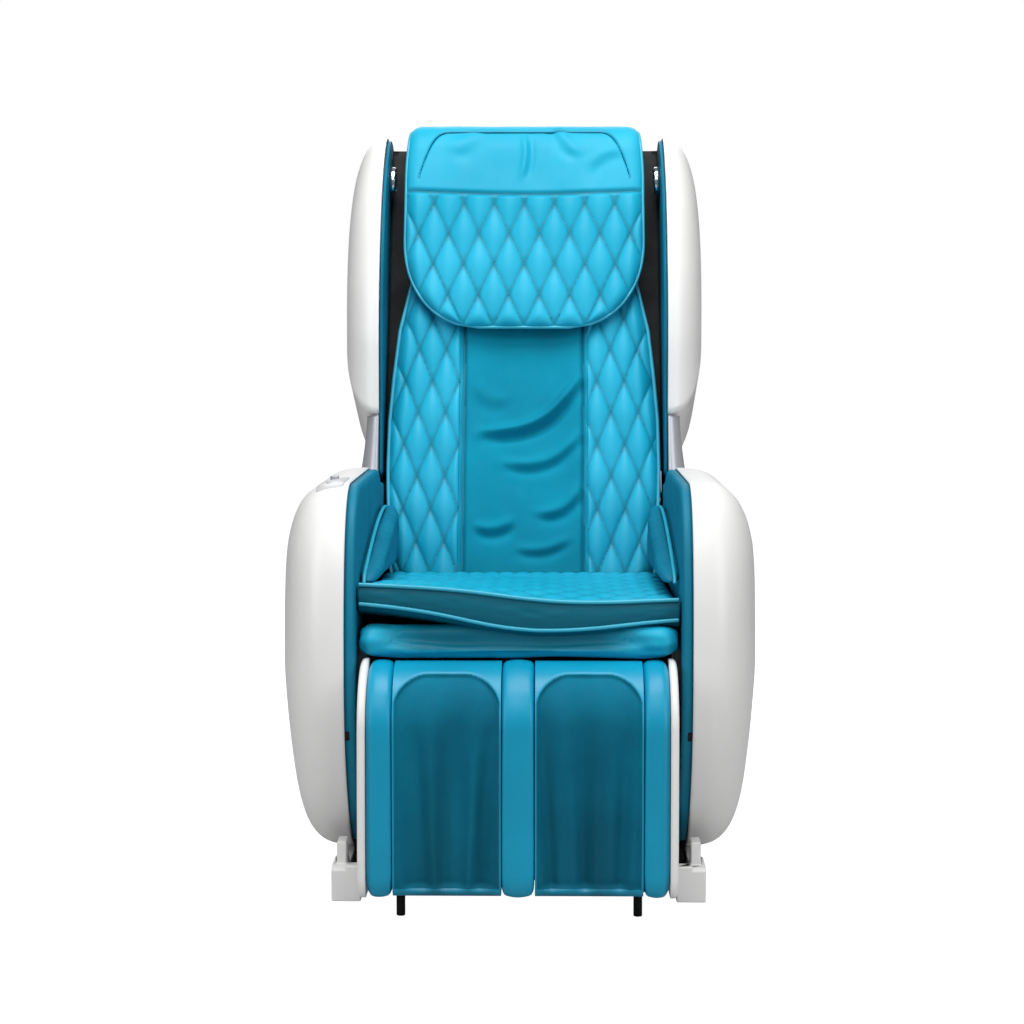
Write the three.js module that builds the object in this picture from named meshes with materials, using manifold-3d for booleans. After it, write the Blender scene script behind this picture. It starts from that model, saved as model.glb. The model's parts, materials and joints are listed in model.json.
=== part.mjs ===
// Electric reclining massage armchair with a swinging calf rest.
// Millimetres, +Z up, the sitter faces -Y, +X is the sitter's left. The origin is on the floor,
// under the middle of the chair's box.
import * as THREE from "three";
import { mergeVertices } from "three/addons/utils/BufferGeometryUtils.js";
import Module from "manifold-3d";

const wasm = await Module();
wasm.setup();

// ---- driving dimensions ----
const RAD = Math.PI / 180;
const GAP = 0.3; // left between pieces that touch

const RECLINE_AXIS = { y: 130, z: 345 };
const BACK_LEAN = 22; // degrees behind upright
const LEG_AXIS = { y: -400, z: 275 };
const SHAFT_R = 12;
const LEG_SHAFT_R = 10;
const PIN_R = 5;
const RUN = 0.4; // running clearance on a radius

const ARM_X = 228; // inner rim of an arm shell
const ARM_TOP = 587;
const ARM_BOTTOM = 78;
const ARM_FRONT = -430;
const ARM_CENTRE = { y: -42, z: 335 };
const ARM_REAR_R = 215; // the arm's rear edge is an arc about the recline axis
const WING_X = 221;
const WING_CENTRE = { y: 0, z: 550 };
const SHELL_WALL = 4;

const LINER = { inner: 214, outer: 221.7 };
const SIDE_PLATE = { inner: 222, outer: 227.7 };
const RAIL = { inner: 196, outer: 221.7, low: 48, high: 84, front: -344, back: 370 };
const SEAT_HALF = 213;
const SEAT_PAN = { low: 368, high: 380, front: -345, back: 45 };

const LEG_TOP_R = 84;
const LEG_BACK = 50; // local y of the leg rest's rear face
const LEG_LENGTH = 212; // down from the leg axis
const CALF_SPLIT = { centre: 21, side: 163, cover: 197, outside: 207 };

const RECLINE_DRIVE = { x: -60, base: { y: -190, z: 120 }, lever: { y: 30, z: -110 } };
const LEG_DRIVE = { x: 60, base: { y: 40, z: 130 }, lever: { y: 54, z: -59 } };
const ROD_R = 5.2;

const CARRIAGE_U = 400; // the carriage's rest height along the back
const GUIDE_X = 150;
const ROLLER = { r: 26, x: 46.5, width: 22, reach: 75, v: 14 };

// ---- materials ----
const paint = (color, roughness, metalness = 0) =>
  new THREE.MeshStandardMaterial({ color, roughness, metalness });
const WHITE = paint(0xf1f1f0, 0.25);
const LEATHER = paint(0x1f93bb, 0.45);
const LINING = paint(0x087c96, 0.6);
const FABRIC = paint(0x0a86a0, 0.8);
const SILVER = paint(0xb8bac6, 0.3, 0.6);
const CHROME = paint(0xd8dade, 0.1, 1);
const BLACK = paint(0x17191b, 0.5);
const STEEL = paint(0x3a3d42, 0.5, 0.4);
const RUBBER = paint(0x111111, 0.9);

// ---- scene graph ----
const chair = new THREE.Group();
const base = new THREE.Group();
const back = new THREE.Group();
back.position.set(0, RECLINE_AXIS.y, RECLINE_AXIS.z);
back.rotation.x = -BACK_LEAN * RAD;
const leg = new THREE.Group();
leg.position.set(0, LEG_AXIS.y, LEG_AXIS.z);
chair.add(base, back, leg);

function add(parent, name, geometry, material) {
  const mesh = new THREE.Mesh(geometry, material);
  mesh.name = name;
  parent.add(mesh);
  return mesh;
}

// A left and right pair: side is -1 for the one at -X and 1 for the one at +X.
function pair(parent, name, make, material) {
  for (const [word, side] of [["left", -1], ["right", 1]])
    add(parent, `${name}_${word}`, make(side), material);
}

// ---- solids ----
function solid(geometry) {
  const g = geometry.index ? geometry.toNonIndexed() : geometry.clone();
  g.deleteAttribute("normal");
  g.deleteAttribute("uv");
  const m = mergeVertices(g, 1e-4);
  return new wasm.Manifold(new wasm.Mesh({
    numProp: 3,
    vertProperties: m.attributes.position.array,
    triVerts: new Uint32Array(m.index.array),
  }));
}

function geometryOf(manifold) {
  const m = manifold.getMesh();
  const g = new THREE.BufferGeometry();
  g.setAttribute("position", new THREE.BufferAttribute(m.vertProperties, 3));
  g.setIndex(new THREE.BufferAttribute(m.triVerts, 1));
  g.computeVertexNormals();
  return g;
}

const join = (...parts) =>
  geometryOf(parts.map(solid).reduce((sum, next) => sum.add(next)));
const cut = (from, ...tools) =>
  geometryOf(tools.map(solid).reduce((rest, tool) => rest.subtract(tool), solid(from)));

// A box from its low and high corners.
function box(x0, x1, y0, y1, z0, z1) {
  const g = new THREE.BoxGeometry(x1 - x0, y1 - y0, z1 - z0);
  return g.translate((x0 + x1) / 2, (y0 + y1) / 2, (z0 + z1) / 2);
}

// A (y, z) outline, as a list of points or a THREE.Shape, made into a slab from x0 to x1.
const ALONG_X = new THREE.Matrix4().makeBasis(
  new THREE.Vector3(0, 1, 0), new THREE.Vector3(0, 0, 1), new THREE.Vector3(1, 0, 0));
function slab(outline, x0, x1) {
  const shape = Array.isArray(outline)
    ? new THREE.Shape(outline.map(([y, z]) => new THREE.Vector2(y, z)))
    : outline;
  const g = new THREE.ExtrudeGeometry(shape, {
    depth: x1 - x0, bevelEnabled: false, curveSegments: 8,
  });
  return g.applyMatrix4(ALONG_X).translate(x0, 0, 0);
}

// The same slab on the side given by side, from inner to outer distance.
const sideSlab = (outline, side, inner, outer) =>
  side > 0 ? slab(outline, inner, outer) : slab(outline, -outer, -inner);
const sideBox = (side, inner, outer, y0, y1, z0, z1) =>
  side > 0 ? box(inner, outer, y0, y1, z0, z1) : box(-outer, -inner, y0, y1, z0, z1);

function rodX(r, x0, x1, y, z, sides = 24) {
  const g = new THREE.CylinderGeometry(r, r, x1 - x0, sides);
  return g.rotateZ(Math.PI / 2).translate((x0 + x1) / 2, y, z);
}

function rodZ(r, z0, z1, x, y, sides = 16) {
  const g = new THREE.CylinderGeometry(r, r, z1 - z0, sides);
  return g.rotateX(Math.PI / 2).translate(x, y, (z0 + z1) / 2);
}

// A closed skin through rings of points, with a fan at each end. Each ring is [x, scale]: the
// (y, z) outline, shrunk towards centre by scale, at that x.
function dome(outline, centre, rings, side) {
  const n = outline.length;
  const vertices = [];
  for (const [x, scale] of rings)
    for (const [y, z] of outline)
      vertices.push(side * x, centre.y + (y - centre.y) * scale, centre.z + (z - centre.z) * scale);
  const low = vertices.length / 3;
  vertices.push(side * rings[0][0], centre.y, centre.z);
  vertices.push(side * rings[rings.length - 1][0], centre.y, centre.z);
  const faces = [];
  const quad = (a, b, c, d) => faces.push(a, b, c, a, c, d);
  for (let k = 0; k + 1 < rings.length; k++)
    for (let i = 0; i < n; i++) {
      const j = (i + 1) % n;
      quad(k * n + i, k * n + j, (k + 1) * n + j, (k + 1) * n + i);
    }
  const top = (rings.length - 1) * n;
  for (let i = 0; i < n; i++) {
    const j = (i + 1) % n;
    faces.push(low, j, i, low + 1, top + i, top + j);
  }
  const area = THREE.ShapeUtils.area(outline.map(([y, z]) => new THREE.Vector2(y, z)));
  if (area * side < 0) faces.reverse();
  const g = new THREE.BufferGeometry();
  g.setAttribute("position", new THREE.Float32BufferAttribute(vertices, 3));
  g.setIndex(faces);
  return g;
}

// A dome with a wall, open on its inner side.
function domeShell(outline, centre, rings, side) {
  const inner = rings.filter((_, k) => k % 2 === 0 || k + 1 === rings.length)
    .map(([x, scale]) => [x - SHELL_WALL, scale - 0.016]);
  return cut(dome(outline, centre, rings, side), dome(outline, centre, inner, side));
}

const spaced = (path, count) => path.getSpacedPoints(count).slice(0, count).map((p) => [p.x, p.y]);

const scaled = (outline, centre, scale) => outline.map(([y, z]) =>
  [centre.y + (y - centre.y) * scale, centre.z + (z - centre.z) * scale]);

// ---- arms ----
function armOutline(count) {
  const path = new THREE.Path();
  const from = 100 * RAD;
  path.moveTo(-300, ARM_TOP);
  path.lineTo(20, ARM_TOP);
  path.quadraticCurveTo(62, ARM_TOP, RECLINE_AXIS.y + ARM_REAR_R * Math.cos(from),
    RECLINE_AXIS.z + ARM_REAR_R * Math.sin(from));
  path.absarc(RECLINE_AXIS.y, RECLINE_AXIS.z, ARM_REAR_R, from, -45 * RAD, true);
  path.bezierCurveTo(235, 140, 180, ARM_BOTTOM, 90, ARM_BOTTOM);
  path.lineTo(-230, ARM_BOTTOM);
  path.bezierCurveTo(-330, ARM_BOTTOM, ARM_FRONT, 200, ARM_FRONT, 330);
  path.bezierCurveTo(ARM_FRONT, 480, -400, ARM_TOP, -300, ARM_TOP);
  return spaced(path, count);
}

const ARM_RINGS = [[ARM_X, 1], [252, 0.992], [275, 0.965], [293, 0.915], [306, 0.85],
  [315, 0.76], [321.5, 0.6], [325, 0.35]];

// The control panel lies in the left arm's top, its front edge a little lower.
const PANEL = { x: -254, y: -280, z: 586, half: [19, 60], depth: 16, tilt: 5 };
function panelBox(grow) {
  const [w, l] = PANEL.half;
  const g = box(-w - grow, w + grow, -l - grow, l + grow, -PANEL.depth - grow, 2 + grow);
  return g.rotateX(PANEL.tilt * RAD).translate(PANEL.x, PANEL.y, PANEL.z);
}

function armShell(side) {
  const shell = domeShell(armOutline(44), ARM_CENTRE, ARM_RINGS, side);
  return side < 0 ? cut(shell, panelBox(GAP)) : shell;
}

// Where the seat pan's tabs pass through each liner.
const TABS = [[-250, -200], [-40, 10]];

function armLiner(side) {
  const skin = sideSlab(scaled(armOutline(44), ARM_CENTRE, 0.975), side, LINER.inner, LINER.outer);
  const [far, near] = [LINER.outer + 1, LINER.inner - 1];
  const through = (r, axis) => rodX(r, Math.min(side * far, side * near),
    Math.max(side * far, side * near), axis.y, axis.z);
  const slots = TABS.map(([y0, y1]) =>
    sideBox(side, near, far, y0 - 1, y1 + 1, SEAT_PAN.low - 1, SEAT_PAN.high + 1));
  return cut(skin, through(SHAFT_R + 2, RECLINE_AXIS), through(LEG_SHAFT_R + 2, LEG_AXIS), ...slots);
}

function sidePlate(side) {
  const rim = [[-417, 258], [-250, 50], [190, 50], [215, 130], [185, 345], [160, 400], [100, 525],
    [0, 560], [-280, 560], [-340, 500], [-417, 296]];
  const window = [[-335, 250], [-235, 92], [150, 92], [160, 140], [85, 345], [80, 400], [40, 500],
    [-260, 520], [-300, 470], [-350, 300]];
  const [x0, x1] = side > 0 ? [SIDE_PLATE.inner, SIDE_PLATE.outer] : [-SIDE_PLATE.outer, -SIDE_PLATE.inner];
  return cut(slab(rim, x0, x1), slab(window, x0 - 1, x1 + 1),
    rodX(SHAFT_R + GAP, x0 - 1, x1 + 1, RECLINE_AXIS.y, RECLINE_AXIS.z),
    rodX(LEG_SHAFT_R + GAP, x0 - 1, x1 + 1, LEG_AXIS.y, LEG_AXIS.z));
}

pair(base, "arm_shell", armShell, WHITE);
pair(base, "arm_liner", armLiner, LINING);
pair(base, "side_frame", sidePlate, STEEL);

// ---- base ----
const WHEEL = { x: 150, y: 335, r: 25, half: 10 };
const FOOT = { x: 160.5, y: -330, r: 6 };

// A pair of lugs with a pin through them, standing on a cross tube.
function lugs(x, pivot, y0, y1, z0, z1) {
  return [box(x - 12, x - 6, y0, y1, z0, z1), box(x + 6, x + 12, y0, y1, z0, z1),
    rodX(PIN_R, x - 12, x + 12, pivot.y, pivot.z, 16)];
}

function baseFrame() {
  const cross = (y0, y1, z1 = 80) => box(-RAIL.inner - 1, RAIL.inner + 1, y0, y1, 52, z1);
  const parts = [];
  for (const side of [-1, 1]) {
    parts.push(sideBox(side, RAIL.inner, RAIL.outer, RAIL.front, RAIL.back, RAIL.low, RAIL.high));
    const x = side * WHEEL.x;
    for (const plate of [x - 16, x + 12])
      parts.push(box(plate, plate + 4, WHEEL.y - 12, WHEEL.y + 12, 13, 60));
    parts.push(rodX(PIN_R, x - 16, x + 16, WHEEL.y, WHEEL.r, 16));
  }
  const [recline, legs] = [RECLINE_DRIVE.base, LEG_DRIVE.base];
  parts.push(cross(FOOT.y - 14, FOOT.y + 14), cross(WHEEL.y - 12, WHEEL.y + 12),
    cross(recline.y - 14, recline.y + 14), cross(legs.y - 14, legs.y + 14),
    ...lugs(RECLINE_DRIVE.x, recline, recline.y - 10, recline.y + 10, 76, recline.z + 12),
    ...lugs(LEG_DRIVE.x, legs, legs.y - 10, legs.y + 10, 76, legs.z + 12));
  return join(...parts);
}

// A white cover along each side: a low block with a neck that rises into the arm at the front.
function baseCover(side) {
  const outline = [[-410, 38], [380, 38], [380, 74], [-336, 74], [-348, 86], [-402, 86], [-410, 80]];
  return join(sideSlab(outline, side, 228.2, 247.5),
    sideBox(side, 208.5, 229, -410, -388, 38, 86),
    sideBox(side, 228.2, 241, -400, -362, 85, 116));
}

function wheel(side) {
  const { r, half } = WHEEL;
  const bore = PIN_R + RUN;
  const profile = [[bore, -half], [r - 4, -half], [r, -half + 4], [r, half - 4], [r - 4, half],
    [bore, half], [bore, -half]].map(([x, y]) => new THREE.Vector2(x, y));
  const g = new THREE.LatheGeometry(profile, 24);
  return g.rotateZ(Math.PI / 2).translate(side * WHEEL.x, WHEEL.y, WHEEL.r);
}

function foot(side) {
  const [x, y] = [side * FOOT.x, FOOT.y];
  return join(rodZ(FOOT.r, 0, 52 - GAP, x, y), rodZ(FOOT.r + 5, 34, 40, x, y));
}

add(base, "base_frame", baseFrame(), STEEL);
pair(base, "base_cover", baseCover, WHITE);
pair(base, "front_foot", foot, RUBBER);
pair(base, "rear_wheel", wheel, BLACK);

function rearCover() {
  const profile = [[372, 40], [376, 40], [376, 122], [334, 236], [330, 235], [372, 120]];
  return cut(slab(profile, -SEAT_HALF, SEAT_HALF), box(98, 148, 360, 390, 62, 92));
}

function powerInlet() {
  return cut(box(98.5, 147.5, 350, 378, 62.5, 91.5), box(106, 140, 360, 380, 68, 86));
}

add(base, "rear_lower_cover", rearCover(), BLACK);
add(base, "power_inlet", powerInlet(), BLACK);
add(base, "control_box", box(70, 180, 190, 300, 86, 150), BLACK);
add(base, "air_pump", join(box(-180, -100, -60, 60, 86, 140), rodX(20, -175, -105, 0, 148)), BLACK);

// ---- seat ----
function seatPan() {
  const { low, high, front, back: rear } = SEAT_PAN;
  return join(box(-SEAT_HALF, SEAT_HALF, front, rear, low, high),
    ...TABS.map(([y0, y1]) => box(-LINER.outer, LINER.outer, y0, y1, low, high)));
}

const CUSHION = [[-402, 409], [-345, 409], [-345, 380.5], [45, 380.5], [45, 428], [-100, 430],
  [-380, 450], [-402, 444]];
const APRON = [[-412, 376], [-404, 367.5], [-352, 367.5], [-349, 404], [-404, 404], [-412, 396]];
const BOLSTER = [[60, 433], [101, 524], [80, 528], [-60, 518], [-200, 494], [-330, 464],
  [-352, 452], [-345, 450.5]];

add(base, "seat_pan", seatPan(), STEEL);
add(base, "seat_cushion", slab(CUSHION, -SEAT_HALF, SEAT_HALF), LEATHER);
add(base, "seat_apron", slab(APRON, -210, 210), LEATHER);
pair(base, "hip_bolster", (side) => sideSlab(BOLSTER, side, 190, 213.5), LEATHER);
add(base, "recline_shaft",
  rodX(SHAFT_R, -SIDE_PLATE.outer, SIDE_PLATE.outer, RECLINE_AXIS.y, RECLINE_AXIS.z), STEEL);
add(base, "leg_shaft",
  rodX(LEG_SHAFT_R, -SIDE_PLATE.outer, SIDE_PLATE.outer, LEG_AXIS.y, LEG_AXIS.z), STEEL);

// ---- control panel ----
const BUTTONS = [-28, 28]; // along the panel
const BUTTON = { r: 6, depth: 6, proud: 1.5 };
const panel = new THREE.Group();
panel.position.set(PANEL.x, PANEL.y, PANEL.z);
panel.rotation.x = PANEL.tilt * RAD;
base.add(panel);
const wells = BUTTONS.map((y) => rodZ(BUTTON.r + RUN, 2 - BUTTON.depth, 4, 0, y));
const [PANEL_W, PANEL_L] = PANEL.half;
add(panel, "control_panel",
  cut(box(-PANEL_W, PANEL_W, -PANEL_L, PANEL_L, -PANEL.depth, 2), ...wells), BLACK);
BUTTONS.forEach((y, i) => add(panel, `panel_button_${i + 1}`,
  rodZ(BUTTON.r, 3.3 - BUTTON.depth, 2 + BUTTON.proud, 0, y), SILVER));

// ---- back, in its own frame: y is rearward and z up along the back, from the recline axis ----
function wingOutline(count) {
  const edge = [[-112, 300], [-150, 400], [-172, 520], [-165, 620], [-130, 712], [-80, 772],
    [-20, 804], [60, 803], [118, 775], [146, 705], [154, 500], [149, 350], [138, 300]];
  const curve = new THREE.SplineCurve(edge.map(([y, z]) => new THREE.Vector2(y, z)));
  const path = new THREE.Path();
  path.curves.push(curve);
  path.closePath();
  return spaced(path, count);
}

const WING_RINGS = [[WING_X, 1], [238, 0.965], [254, 0.9], [266, 0.82], [274, 0.7], [278, 0.5],
  [280, 0.25]];
pair(back, "wing_shell", (side) => domeShell(wingOutline(36), WING_CENTRE, WING_RINGS, side), WHITE);

const WING_LINER = [[-105, 304], [-143, 400], [-165, 520], [-158, 618], [-125, 704], [-77, 765],
  [-20, 796], [21, 798], [21, 226], [-80, 212]];
pair(back, "wing_liner", (side) => sideSlab(WING_LINER, side, 216, WING_X - GAP), LINING);

// The silver trim fills the space between the wing's lower edge and the arm.
function wingTrim(side) {
  const shape = new THREE.Shape();
  shape.moveTo(-108, 296);
  shape.lineTo(135, 296);
  shape.lineTo(150, 162);
  shape.absarc(0, 0, ARM_REAR_R + 5, 47 * RAD, 117 * RAD, false);
  return cut(sideSlab(shape, side, WING_X, 252),
    sideSlab([[-90, 290], [124, 290], [134, 140], [-80, 140]], side, WING_X - 1, 248));
}
pair(back, "wing_trim", wingTrim, SILVER);

// The rear cover is a deep pan: as wide as the wings above the arms, narrower between the arms.
const PAN = { narrow: 212.7, wide: WING_X - GAP, step: 228 };
function rearPan() {
  const low = [[25, -20], [105, -20], [136, 10], [150, 120]];
  const high = [[154, 500], [146, 705], [118, 772], [60, 799], [25, 801]];
  const lowInner = [[20, -16], [104, -16], [132, 12], [146, 120]];
  const highInner = [[150, 500], [142, 704], [115, 769], [59, 795], [20, 797]];
  const { narrow, wide, step } = PAN;
  const solidBack = join(slab([...low, ...high], -narrow, narrow),
    box(-215.5, 215.5, -13, 26, 790, 800),
    slab([[25, step], [151, step], ...high], -wide, wide));
  const [n, w, s] = [narrow - SHELL_WALL, wide - SHELL_WALL, step + SHELL_WALL];
  return cut(solidBack, slab([...lowInner, ...highInner], -n, n),
    slab([[20, s], [147, s], ...highInner], -w, w));
}
add(back, "back_rear_cover", rearPan(), WHITE);

function backFrame() {
  const parts = [cut(rodX(19, -187, 187, 0, 0), rodX(SHAFT_R + RUN, -190, 190, 0, 0))];
  for (const side of [-1, 1]) {
    const rail = slab([[-20, -24], [20, -24], [20, 780], [-20, 780]], ...(side > 0 ? [186, 206] : [-206, -186]));
    parts.push(cut(rail, rodX(SHAFT_R + RUN, -210, 210, 0, 0)));
    parts.push(rodZ(6, 140, 750, side * GUIDE_X, 0, 12));
  }
  parts.push(box(-187, 187, -15, 15, 118, 145), box(-187, 187, -15, 15, 745, 772),
    rodZ(7, 140, 750, 0, 8, 12));
  const { x, lever } = RECLINE_DRIVE;
  const plate = [[-10, -14], [14, -14], [lever.y + 10, lever.z + 4], [lever.y, lever.z - 10],
    [lever.y - 10, lever.z]];
  parts.push(slab(plate, x - 12, x - 6), slab(plate, x + 6, x + 12),
    rodX(PIN_R, x - 12, x + 12, lever.y, lever.z, 16));
  return join(...parts);
}
add(back, "back_frame", backFrame(), STEEL);

// The back pad is widest at the hips and narrows towards the head.
function backPad() {
  const half = [[192, 20], [208, 80], [212, 225], [211, 300], [206, 370], [198, 450], [180, 532],
    [172, 640], [168, 788]];
  const outline = [...half, ...half.map(([x, z]) => [-x, z]).reverse()];
  const shape = new THREE.Shape(outline.map(([x, z]) => new THREE.Vector2(x, z)));
  const g = new THREE.ExtrudeGeometry(shape, { depth: 60, bevelEnabled: false });
  return g.rotateX(Math.PI / 2).translate(0, -25, 0);
}
add(back, "back_pad", backPad(), LEATHER);

function speaker(side) {
  const g = new THREE.CylinderGeometry(20, 22, 10, 20).rotateZ(side * Math.PI / 2);
  return g.scale(1, 0.8, 1).translate(side * 210.7, -62, 711);
}
pair(back, "speaker", speaker, CHROME);

// ---- head pillow: hangs over the top of the back on a strap, and lifts forward ----
const PILLOW = [[-113, 430], [-86, 430], [-86, 790.5], [-16, 790.5], [-16, 803], [-50, 806],
  [-98, 790], [-113, 768]];
add(back, "head_pillow", slab(PILLOW, -186, 186), LEATHER);

// ---- massage mechanism ----
const LUG_X = { inner: [18, 24], outer: [60, 66] };

function carriage() {
  const u = CARRIAGE_U;
  const parts = [box(-168, 168, 44, 56, u - 40, u + 40)];
  const bores = [rodZ(7 + RUN, u - 50, u + 50, 0, 8, 12)];
  parts.push(box(-14, 14, -6, 46, u - 30, u + 30));
  for (const side of [-1, 1]) {
    parts.push(sideBox(side, 138, 162, -14, 46, u - 35, u + 35));
    bores.push(rodZ(6 + RUN, u - 50, u + 50, side * GUIDE_X, 0, 12));
    for (const [inner, outer] of Object.values(LUG_X))
      parts.push(sideBox(side, inner, outer, -10, 46, u - 10, u + 10));
    const [x0, x1] = [side * LUG_X.inner[0], side * LUG_X.outer[1]];
    parts.push(rodX(PIN_R, Math.min(x0, x1), Math.max(x0, x1), 0, u, 16));
  }
  return cut(join(...parts), ...bores);
}
add(back, "massage_carriage", carriage(), STEEL);

const ARM_PLATE = { inner: 30, outer: 34 };
function massageArm(side) {
  const u = CARRIAGE_U;
  const { reach, v } = ROLLER;
  const bow = [[-9, u], [v - 7, u - reach - 7], [v + 7, u - reach - 7], [v + 7, u - reach + 8],
    [10, u - 12], [10, u + 12], [v + 7, u + reach - 8], [v + 7, u + reach + 7], [v - 7, u + reach + 7]];
  const span = (a, b) => [Math.min(side * a, side * b), Math.max(side * a, side * b)];
  return cut(join(sideSlab(bow, side, ARM_PLATE.inner, ARM_PLATE.outer),
    rodX(9, ...span(26, 58), 0, u, 16),
    rodX(4, ...span(ARM_PLATE.inner, 60), v, u - reach, 12),
    rodX(4, ...span(ARM_PLATE.inner, 60), v, u + reach, 12)),
  rodX(PIN_R + RUN, ...span(20, 64), 0, u, 16));
}
pair(back, "massage_arm", massageArm, STEEL);

function roller(side, end) {
  const { r, x, width } = ROLLER;
  const half = width / 2;
  const bore = 4 + RUN;
  const profile = [[bore, -half], [r - 8, -half], [r - 2, -half * 0.6], [r, 0], [r - 2, half * 0.6],
    [r - 8, half], [bore, half], [bore, -half]].map(([a, b]) => new THREE.Vector2(a, b));
  const g = new THREE.LatheGeometry(profile, 20).rotateZ(Math.PI / 2);
  return g.translate(side * x, ROLLER.v, CARRIAGE_U + end * ROLLER.reach);
}
for (const [word, end] of [["upper", 1], ["lower", -1]])
  pair(back, `massage_roller_${word}`, (side) => roller(side, end), BLACK);

// ---- calf rest, in its own frame from the leg axis ----
// A rounded top about the axis, a front that bulges a little, and a slot at the back for the hub.
function legOutline(r, front, slot) {
  const shape = new THREE.Shape();
  shape.moveTo(LEG_BACK - 4, -LEG_LENGTH + 14);
  if (slot) {
    shape.lineTo(LEG_BACK - 4, -17);
    shape.lineTo(0, -17);
    shape.absarc(0, 0, 17, -90 * RAD, -270 * RAD, true);
    shape.lineTo(LEG_BACK - 4, 17);
  }
  const from = Math.acos((LEG_BACK - 4) / r);
  shape.absarc(0, 0, r, from, Math.PI, false);
  shape.quadraticCurveTo(-front, -90, -front + 2, -LEG_LENGTH + 26);
  shape.quadraticCurveTo(-front + 4, -LEG_LENGTH, -front + 26, -LEG_LENGTH);
  shape.lineTo(LEG_BACK - 20, -LEG_LENGTH);
  return shape;
}

pair(leg, "leg_side_cover", (side) => {
  const [x0, x1] = side > 0 ? [CALF_SPLIT.cover, CALF_SPLIT.outside] : [-CALF_SPLIT.outside, -CALF_SPLIT.cover];
  return cut(slab(legOutline(LEG_TOP_R + 2, 92, false), x0, x1),
    rodX(LEG_SHAFT_R + RUN, x0 - 1, x1 + 1, 0, 0));
}, WHITE);
pair(leg, "calf_bolster", (side) => sideSlab(legOutline(LEG_TOP_R, 90, true), side,
  CALF_SPLIT.side, CALF_SPLIT.cover - GAP), LEATHER);
add(leg, "calf_divider", slab(legOutline(LEG_TOP_R, 90, true), -CALF_SPLIT.centre, CALF_SPLIT.centre),
  LEATHER);
pair(leg, "calf_pad", (side) => sideSlab(legOutline(LEG_TOP_R - 6, 56, true), side,
  CALF_SPLIT.centre + GAP, CALF_SPLIT.side - GAP), LINING);

function legFrame() {
  const [near, far] = [LEG_BACK - 3.5, LEG_BACK];
  const parts = [rodX(15.5, -190, 190, 0, 0), box(-190, 190, near, far, -198, -80)];
  for (const side of [-1, 1])
    parts.push(sideBox(side, 140, 170, near, far, -85, 8), sideBox(side, 140, 170, 10, far, -8, 8));
  const { x, lever } = LEG_DRIVE;
  const plate = [[5, -10], [5, 10], [lever.y + 8, 10], [lever.y + 8, lever.z - 8],
    [lever.y - 7, lever.z - 8], [lever.y - 7, -10]];
  parts.push(slab(plate, x - 12, x - 6), slab(plate, x + 6, x + 12),
    rodX(PIN_R, x - 12, x + 12, lever.y, lever.z, 16));
  return cut(join(...parts), rodX(LEG_SHAFT_R + RUN, -191, 191, 0, 0));
}
add(leg, "leg_frame", legFrame(), STEEL);
add(leg, "leg_rear_cover",
  box(-CALF_SPLIT.cover + 1, CALF_SPLIT.cover - 1, LEG_BACK + GAP, LEG_BACK + 3, -204, -78), BLACK);

// ---- linear actuators: a housing that swings on the base, and a rod that slides in it ----
// Their rods stop short of the lever pins, where each closed linkage is opened.
function actuator(name, drive, tip, { housing, rod, motor }) {
  const group = new THREE.Group();
  const angle = Math.atan2(tip.z - drive.base.z, tip.y - drive.base.y);
  group.position.set(drive.x, drive.base.y, drive.base.z);
  group.rotation.x = angle; // local +Y then runs from the base pivot to the lever pin
  base.add(group);
  const alongY = (r, y0, y1, sides) =>
    new THREE.CylinderGeometry(r, r, y1 - y0, sides).translate(0, (y0 + y1) / 2, 0);
  const [x0, x1] = [-5.5, 5.5];
  add(group, `${name}_actuator`, cut(
    join(box(x0, x1, -9, 26, -9, 9), alongY(13, 20, housing, 20), box(-16, 16, 24, 24 + motor, -44, -6)),
    rodX(PIN_R + RUN, x0 - 1, x1 + 1, 0, 0, 16), alongY(ROD_R + RUN, 34, housing + 5, 16)), BLACK);
  add(group, `${name}_rod`, alongY(ROD_R, rod[0], rod[1], 16), STEEL);
}

function worldOf(group, { y, z }) {
  group.updateMatrixWorld(true);
  return new THREE.Vector3(0, y, z).applyMatrix4(group.matrixWorld);
}
actuator("recline", RECLINE_DRIVE, worldOf(back, RECLINE_DRIVE.lever),
  { housing: 205, rod: [95, 312], motor: 60 });
actuator("leg", LEG_DRIVE, worldOf(leg, LEG_DRIVE.lever), { housing: 240, rod: [80, 380], motor: 60 });

// ---- the whole chair, centred over its origin ----
chair.updateMatrixWorld(true);
const bounds = new THREE.Box3().setFromObject(chair, true);
chair.position.y = -(bounds.min.y + bounds.max.y) / 2;

export default chair;
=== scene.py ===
import json
import math

import bpy
import bmesh
import numpy as np
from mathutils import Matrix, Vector, noise

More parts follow.
